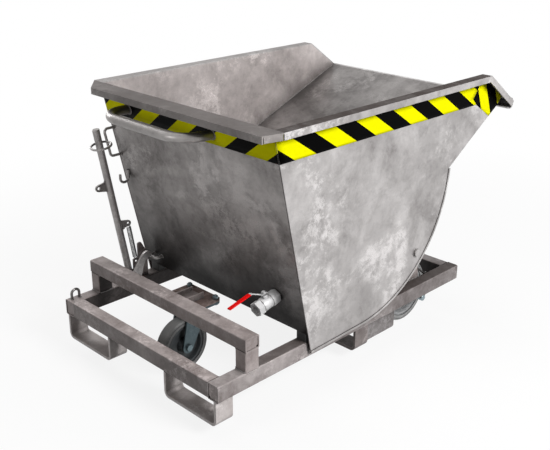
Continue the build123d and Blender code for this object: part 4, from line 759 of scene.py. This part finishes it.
# Every carried-over solid takes the finish of its slot or its own
slotOf = {s["node"]: s["material_slot"] for s in frame["record"]["subparts"]}
boltFinish = makeZinc("boltZinc", boltValues)
ownFinish = {
    "rear_core": makeCoat("rearCore", rearCoreValues), "rear_tyre": makeTyre("rearTread", rearTyreValues),
    "caster_bolts": boltFinish, "front_axle": boltFinish, "wheel_bolt": makeZinc("axleZinc", axleValues),
}
for nodeName in ("lock_keeper", "lock_ring", "chain_hook", "latch_catch"):  # bent rod, dull
    ownFinish[nodeName] = finish["lever_steel"]
for nodeName, own in nodeToneAndShade.items():
    values = toned(steels[slotOf[nodeName]], own.get("tone", (1, 1, 1)))
    values.update({k: w for k, w in own.items() if k != "tone"})
    ownFinish[nodeName] = makeCoat(nodeName.title().replace("_", "") + "Steel", values)
for nodeName, obj in nodes.items():
    obj.data.materials.clear()
    obj.data.materials.append(ownFinish.get(nodeName, finish[slotOf[nodeName]]))
print("finishes set:", len(bpy.data.materials))

# Places on the hopper that several pieces share
wall = {"station": 415.4, "lean": 12.8}
belly = {"x": 653.6, "z": 536.7}
drain = {"y": 111.0, "z": 212.2}


def wallX(z):  # station of the rear wall's outer face at a height
    return wall["station"] - np.tan(np.radians(wall["lean"])) * np.asarray(z, float)


# Hazard tape round the top of the hopper, on the rear wall and both sides
tape = {
    "low": 727.0, "high": 833.0, "face": -14.0, "start": 0.4, "lift": 0.35, "thick": 0.00022,
    "mapUnit": 100.0,
    "rear": {"pitch": 95.7, "slant": 1.43, "first": 40.3, "from": -14.0, "to": 864.0, "grid": (60, 6)},
    "side": {"pitch": 97.3, "slant": 1.54, "first": 315.0, "grid": (40, 13)},
    "fall": {"pitch": 57.0, "slant": 0.41, "first": 1299.2, "level": 804.0, "columns": 12},
    "mitreZ": (727.0, 752.0, 783.0, 833.0), "mitreX": (1304.0, 1278.0, 1304.0, 1331.0),
    "endX": (1398.0, 1441.0, 1467.0, 1478.6), "endZ": (666.5, 693.5, 714.6, 730.6),
}
tapeCoat = {
    "yellow": (0.95, 0.93, 0.001), "black": (0.0004, 0.0004, 0.0004), "shine": 0.02,
    "band": (0.499, 0.501, 1.0, 0.0), "border": (0.0, 0.002),
    "dark": (0.82, 0.82, 0.82), "light": (1, 1, 1), "scale": 9.0, "contrast": 0.8, "streaks": 0.3,
    "mottle": 0.5, "rubNoise": (55.0, 8.0, 0.75, 0.6), "rub": (0.70, 0.78, 0.0, 0.55),
    "metal": (0.33, 0.32, 0.31), "rough": (0.52, 0.4), "bump": 0.06, "depth": 0.0003,
}


def makeTapeFinish(v):
    # stripes from the piece's own map, whole numbers along it are their borders; scuffs show the metal
    mat, tree, shader = startMaterial("hazardTape", 0.0, v["shine"])
    along = splitVector(tree, addNode(tree, "ShaderNodeUVMap", uv_map="UVMap").outputs[0])[0]
    saw = sums(tree, "FRACT", sums(tree, "MULTIPLY", along, 0.5))
    band = sums(tree, "MULTIPLY", ramp(tree, saw, *v["band"]), ramp(tree, saw, *v["border"]))
    cloud = placeCloud(tree, v)
    color = blendColor(tree, band, rgba(v["black"]), rgba(v["yellow"]))
    color = blendColor(tree, v["mottle"], color, blendColor(tree, 1.0, color, cloud["Color"], "MULTIPLY"))
    rubbed = ramp(tree, noiseAt(tree, ownPlace(tree), *v["rubNoise"]), *v["rub"])
    color = blendColor(tree, rubbed, color, rgba(v["metal"]))
    rough = ramp(tree, cloud["Cloud"], 0.0, 1.0, *v["rough"])
    finishShader(tree, shader, color, rough, cloud["Grain"], v)
    return mat


tapeFinish = makeTapeFinish(tapeCoat)


def tapePiece(name, sheets, flip):
    # sheets are (x, y, z, phase) grids lying on the plate; a thin wall is added outwards
    grids, maps = [], []
    for x, y, z, phase in sheets:
        grids.append((place(x, y, z), False, False))
        maps.append(np.stack([phase.ravel(), (z.ravel() - tape["low"]) / tape["mapUnit"]], -1))
    obj = makePiece(name, grids, tapeFinish, "hopper", uv=np.concatenate(maps))
    if flip:
        obj.data.flip_normals()
    thick = obj.modifiers.new("wall", "SOLIDIFY")
    thick.thickness = tape["thick"]
    thick.offset = 1.0


def rearTape(v):  # flat band on the leaning wall, stripes along y falling to the left
    columns, rows = v["grid"]
    y = np.linspace(v["from"], v["to"], columns)
    z = np.linspace(tape["low"], tape["high"], rows)
    y, z = np.meshgrid(y, z, indexing="ij")
    phase = (y + v["slant"] * (z - tape["low"]) - v["first"]) / v["pitch"]
    tapePiece("hazardTapeRear", [(wallX(z) - tape["lift"], y, z, phase)], True)


def sideTape(name, mirror):  # level run to the mitre, then the falling run that ends at the lip
    side, fall = tape["side"], tape["fall"]
    columns, rows = side["grid"]
    z = np.unique(np.concatenate([np.linspace(tape["low"], tape["high"], rows), tape["mitreZ"]]))
    bendX = np.interp(z, tape["mitreZ"], tape["mitreX"])
    startX = wallX(z) + tape["start"]
    t = np.linspace(0, 1, columns)[:, None]
    x1 = startX[None] + t * (bendX - startX)[None]
    z1 = np.broadcast_to(z[None], x1.shape)
    share = (z - tape["low"]) / (tape["high"] - tape["low"])
    corners = np.linspace(0, 1, len(tape["endX"]))
    endX = np.interp(share, corners, tape["endX"])
    endZ = np.interp(share, corners, tape["endZ"])
    t = np.linspace(0, 1, fall["columns"])[:, None]
    x2 = bendX[None] + t * (endX - bendX)[None]
    z2 = z[None] + t * (endZ - z)[None]
    y = tape["face"] - tape["lift"]
    y = across(y) if mirror else y
    level = (x1 + side["slant"] * (z1 - tape["low"]) - side["first"]) / side["pitch"]
    falling = (x2 + fall["slant"] * (z2 - fall["level"]) - fall["first"]) / fall["pitch"]
    sheets = [(x1, np.full_like(x1, y), z1, level), (x2, np.full_like(x2, y), z2, falling)]
    tapePiece(name, sheets, mirror)


rearTape(tape["rear"])
sideTape("hazardTapeRight", False)
sideTape("hazardTapeLeft", True)
print("hazard tape laid")

# Tension spring between the lever's lower lug and the anchor plate, with a hooked loop at each end
spring = {
    "lug": (279.4, 823.0, 292.8), "anchor": (307.2, 823.0, 128.7), "wire": 1.5, "coil": 8.0, "turns": 25.5,
    "loop": 11.6, "lead": 8.5, "hook": 240.0, "hookPoints": 40, "turnPoints": 26, "sides": 10, "sharp": 70.0,
}
springValues = dict(
    steels["lever_steel"], dark=(0.03, 0.03, 0.031), light=(0.085, 0.085, 0.088),
    scale=60.0, metal=0.2, wear=0.1,
)


def springGrid(v):
    # loop: circle in the plane of the axis and Y; winding: circle round the axis whose turning rate
    # rises smoothly from nothing and falls again
    a, b = place(*v["lug"]), place(*v["anchor"])
    span = np.linalg.norm(b - a) * 1000
    along, wide = unit(b - a), np.array([0, 1.0, 0])
    flat = np.cross(along, wide)
    psi = np.radians(np.linspace(v["hook"], 0, v["hookPoints"]))[:-1, None]
    outA = np.cos(psi) * wide - np.sin(psi) * along
    loopA = a * 1000 + along * v["loop"] + v["coil"] * outA
    s = np.linspace(v["loop"], span - v["loop"], int(v["turns"] * v["turnPoints"]))
    rising = np.clip((s - v["loop"]) / v["lead"], 0, 1)
    falling = np.clip((span - v["loop"] - s) / v["lead"], 0, 1)
    rate = rising * falling
    rate = rate * rate * (3 - 2 * rate)
    turn = np.concatenate([[0], np.cumsum((rate[1:] + rate[:-1]) / 2)])
    turn = (turn / turn[-1] * 2 * np.pi * v["turns"])[:, None]
    radial = np.cos(turn) * wide + np.sin(turn) * flat
    winding = a * 1000 + along * s[:, None] + v["coil"] * radial
    psi = np.radians(np.linspace(0, v["hook"], v["hookPoints"]))[1:, None]
    outB = np.cos(psi) * radial[-1] + np.sin(psi) * along
    loopB = a * 1000 + along * (span - v["loop"]) + v["coil"] * outB
    path = np.concatenate([loopA, winding, loopB]) / 1000
    return tubeGrid(path, np.concatenate([outA, radial, outB]), v["wire"] / 1000, v["sides"])


springFinish = makeCoat("springSteel", springValues)
springPiece = makePiece(
    "hookedSpring", [springGrid(spring)], springFinish, None, spring["sharp"]
)
springEnds = [tuple(place(*spring[end])) for end in ("anchor", "lug")]
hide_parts("latch_spring")
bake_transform(springPiece)
print("spring wound")

# Weld beads, one piece for each body that carries them; sizes in metres, places in the measured frame
bead = {
    "big": 0.0032, "fine": 0.0022, "sides": 8, "gap": 0.0011, "least": 4, "ringGap": 1.1, "ringLeast": 24,
    "step": 0.0042, "bend": 1.3, "swell": 0.13, "slowStep": 0.031, "slowStart": 0.7, "slow": 0.07,
    "wallOut": 0.4, "wallUp": (1.0, 0, 0.2), "sharp": 80.0,
}
forward, sideways, upward = (1.0, 0, 0), (0, 1.0, 0), (0, 0, 1.0)


def beadGrid(path, up, size, loop=False):
    # a tube whose radius swells and sinks along its length, the swells bent into crescents round the ring
    length = np.concatenate([[0], np.cumsum(np.linalg.norm(np.diff(path, axis=0), axis=1))])[:, None]
    angle = np.linspace(0, 2 * np.pi, bead["sides"], endpoint=False)[None]
    swell = np.sin(2 * np.pi * length / bead["step"] + bead["bend"] * np.cos(angle))
    slow = np.sin(2 * np.pi * length / bead["slowStep"] + bead["slowStart"])
    radius = size * (1 + bead["swell"] * swell + bead["slow"] * slow)
    return tubeGrid(path, up, radius, bead["sides"], loop)


def line(a, b, size):  # straight bead from a to b
    start, end = place(*a), place(*b)
    n = max(bead["least"], int(np.linalg.norm(end - start) / bead["gap"]))
    path = start + (end - start) * np.linspace(0, 1, n)[:, None]
    return beadGrid(path, upward if a[2] == b[2] else forward, size)


def runs(v):  # a bead for every mix of the listed places; the axis that it runs along lists pairs
    beads = []
    for x, y, z in product(v["x"], v["y"], v["z"]):
        a, b = [[c[end] if isinstance(c, tuple) else c for c in (x, y, z)] for end in (0, 1)]
        beads.append(line(a, b, bead[v["size"]]))
        if v["both"]:
            a[1], b[1] = across(a[1]), across(b[1])
            beads.append(line(a, b, bead[v["size"]]))
    return beads


def floorRing(x, y, z, r, size):  # ring on a level face
    t = np.linspace(0, 2 * np.pi, int(2 * np.pi * r / bead["ringGap"]), endpoint=False)
    return beadGrid(place(x + r * np.cos(t), y + r * np.sin(t), z), upward, size, loop=True)


def wallRing(y, z, r, size, square=1.0):  # ring on the leaning wall, a circle as seen from behind
    n = max(bead["ringLeast"], int(2 * np.pi * r / bead["ringGap"]))
    t = np.linspace(0, 2 * np.pi, n, endpoint=False)
    height = z + square * r * np.sin(t)
    path = place(wallX(height) - bead["wallOut"], y + r * np.cos(t), height)
    return beadGrid(path, bead["wallUp"], size, loop=True)


frameRuns = {
    "crossRails": {
        "x": (50.0, 687.0, 737.0, 1250.0), "y": (50.0,), "z": ((3.0, 57.0),), "size": "big", "both": True,
    },
    "postFeet": {"x": (118.0, 178.0), "y": ((4.0, 47.0),), "z": (60.0,), "size": "big", "both": True},
    "postFaces": {"x": ((121.0, 175.0),), "y": (50.0,), "z": (60.5, 131.5), "size": "big", "both": True},
    "bracketTops": {"x": ((908.0, 1094.0),), "y": (50.0,), "z": (60.0,), "size": "big", "both": True},
    "bracketFeet": {"x": ((908.0, 1096.0),), "y": (58.0,), "z": (5.0,), "size": "fine", "both": True},
    "outerLegs": {
        "x": ((3.0, 69.0), (679.0, 745.0), (752.0, 900.0)), "y": (12.0, 22.0), "z": (0.0,),
        "size": "big", "both": True,
    },
    "innerLegs": {
        "x": ((3.0, 47.0), (690.0, 734.0)), "y": (262.0, 272.0), "z": (0.0,), "size": "big", "both": True,
    },
    "axleSeats": {"x": (1071.0, 1089.0), "y": ((5.0, 47.0),), "z": (-2.5,), "size": "big", "both": True},
    "armRoot": {"x": (178.5,), "y": (392.0,), "z": ((133.0, 151.0),), "size": "fine", "both": True},
    "armFoot": {"x": ((184.0, 283.0),), "y": (392.0,), "z": (132.0,), "size": "fine", "both": True},
    "leverCheeks": {"x": ((246.0, 301.0),), "y": (800.0, 846.0), "z": (60.0,), "size": "fine", "both": False},
    "anchorFeet": {"x": ((295.0, 357.0),), "y": (820.0, 826.0), "z": (60.0,), "size": "fine", "both": False},
}
lashingFeet = {"x": (15.0, 47.0), "y": 829.0, "z": 60.0, "radius": 5.4}


def frameBeads(v):  # runs along the tubes and plates, and a ring round each foot of the lashing eye
    beads = [b for run in frameRuns.values() for b in runs(run)]
    return beads + [floorRing(x, v["y"], v["z"], v["radius"], bead["fine"]) for x in v["x"]]


hopperWelds = {
    "handle": {"y": (284.0, 725.0), "z": (762.0,), "radius": 17.4, "size": "big"},
    "keeper": {"y": (850.0,), "z": (668.0, 561.0), "radius": 5.6, "size": "fine"},
    "catch": {"y": (752.0, 796.0), "z": (146.0,), "radius": 6.6, "size": "fine"},
    "drain": {"radius": 18.2, "share": 0.9, "square": 0.975},
    "hook": {"y": (824.4, 833.6), "z": (501.0, 482.0), "out": 1.0},
    "edge": -8.6,
    "floor": {"radius": 330.2, "angles": (-88.4, -3.4), "points": 430},
    "chute": {"x": 982.1, "z": 523.3, "rise": 22.2, "run": (2.0, 536.0), "points": 480},
    "corner": {"z": (204.0, 832.0), "in": 5.2, "points": 570},
    "sill": {"x": 375.6, "y": -6.0, "z": 199.4},
}


def hopperBeads(v):  # rings where rods and tubes meet the wall, runs where the sheets meet the side plates
    big, fine = bead["big"], bead["fine"]
    nipple, hook = v["drain"], v["hook"]
    beads = [wallRing(drain["y"], drain["z"], nipple["radius"], fine * nipple["share"], nipple["square"])]
    for ring in (v["handle"], v["keeper"], v["catch"]):
        for y, z in product(ring["y"], ring["z"]):
            beads.append(wallRing(y, z, ring["radius"], bead[ring["size"]]))
    top, low = [(wallX(z) - hook["out"], z) for z in hook["z"]]
    for y in hook["y"]:
        beads.append(line((top[0], y, top[1]), (low[0], y, low[1]), fine))
    angle = np.radians(np.linspace(*v["floor"]["angles"], v["floor"]["points"]))
    arcX = belly["x"] + v["floor"]["radius"] * np.cos(angle)
    arcZ = belly["z"] + v["floor"]["radius"] * np.sin(angle)
    run = np.linspace(*v["chute"]["run"], v["chute"]["points"])
    rise = np.radians(v["chute"]["rise"])
    chuteX = v["chute"]["x"] + run * np.cos(rise)
    chuteZ = v["chute"]["z"] + run * np.sin(rise)
    z = np.linspace(*v["corner"]["z"], v["corner"]["points"])
    for y in (v["edge"], across(v["edge"])):
        beads.append(beadGrid(place(arcX, y, arcZ), sideways, big))
        beads.append(beadGrid(place(chuteX, y, chuteZ), sideways, fine))
        beads.append(beadGrid(place(wallX(z) + v["corner"]["in"], y, z), sideways, big))
    sill = v["sill"]
    beads.append(line((sill["x"], sill["y"], sill["z"]), (sill["x"], across(sill["y"]), sill["z"]), big))
    return beads


# Lugs on the lever: height and side of each; station, lean and radius are the lever tube's
leverWelds = {
    "lugs": ((292.8, 1), (461.0, -1)), "half": 22.0, "points": 40, "y": (819.8, 826.2), "share": 0.8,
    "station": 273.7, "foot": 88.0, "lean": 10.2, "radius": 13.4,
}


def leverBeads(v):  # straight runs on both sides of each lug, along the leaning tube
    beads = []
    for middle, side in v["lugs"]:
        z = np.linspace(middle - v["half"], middle + v["half"], v["points"])
        x = v["station"] - (z - v["foot"]) * np.tan(np.radians(v["lean"])) + side * v["radius"]
        beads += [beadGrid(place(x, y, z), sideways, bead["fine"] * v["share"]) for y in v["y"]]
    return beads


makePiece("frameWelds", frameBeads(lashingFeet), weldFinish, "frame", bead["sharp"])
makePiece("hopperWelds", hopperBeads(hopperWelds), weldFinish, "hopper", bead["sharp"])
makePiece("leverWelds", leverBeads(leverWelds), weldFinish, "lever", bead["sharp"])

seamAndShadowLines = {
    "sides": 6,
    "corner": {"z": (96.0, 832.0), "points": 200, "out": 0.1, "y": -10.2, "radius": 0.0011},
    # painted shadow of the belly's edge bar: a thin dark wire along it and its sole
    "belly": {"radius": 500.0, "angles": (-3.1, -88.4), "points": 260, "y": -14.4, "wire": 0.0012},
    "sole": {"x": (660.0, 408.0), "points": 60, "root": (667.6, 36.9), "rise": 1.6},
    "valve": {"along": 0.0757, "radius": 0.0237, "wire": 0.001, "points": 72},
}


def plateSeams(v):
    # thin dark joints where the rear wall meets the side plates and round the valve's barrel at the nut;
    # along the belly's edge bar and its flat sole, a thin dark wire of painted shadow
    corner, arc, sole, valve = v["corner"], v["belly"], v["sole"], v["valve"]
    z = np.linspace(*corner["z"], corner["points"])
    grids = []
    for y in (corner["y"], across(corner["y"])):
        grids.append(tubeGrid(place(wallX(z) - corner["out"], y, z), sideways, corner["radius"], v["sides"]))
    angle = np.radians(np.linspace(*arc["angles"], arc["points"]))
    soleX = np.linspace(*sole["x"], sole["points"])
    soleZ = sole["root"][1] - (sole["root"][0] - soleX) * np.tan(np.radians(sole["rise"]))
    x = np.concatenate([belly["x"] + arc["radius"] * np.cos(angle), soleX])
    z = np.concatenate([belly["z"] + arc["radius"] * np.sin(angle), soleZ])
    for y in (arc["y"], across(arc["y"])):
        grids.append(tubeGrid(place(x, y, z), sideways, arc["wire"], v["sides"]))
    lean = np.radians(wall["lean"])
    axis = np.array([-np.cos(lean), 0, -np.sin(lean)])
    middle = place(wallX(drain["z"]), drain["y"], drain["z"]) + axis * valve["along"]
    t = np.linspace(0, 2 * np.pi, valve["points"], endpoint=False)[:, None]
    ring = np.cos(t) * np.array(sideways) + np.sin(t) * np.cross(axis, sideways)
    grids.append(tubeGrid(middle + valve["radius"] * ring, axis, valve["wire"], v["sides"], loop=True))
    return grids


makePiece("plateSeams", plateSeams(seamAndShadowLines), seamAndShadowFinish, "hopper", bead["sharp"])
print("welds and seams laid")

print("done")
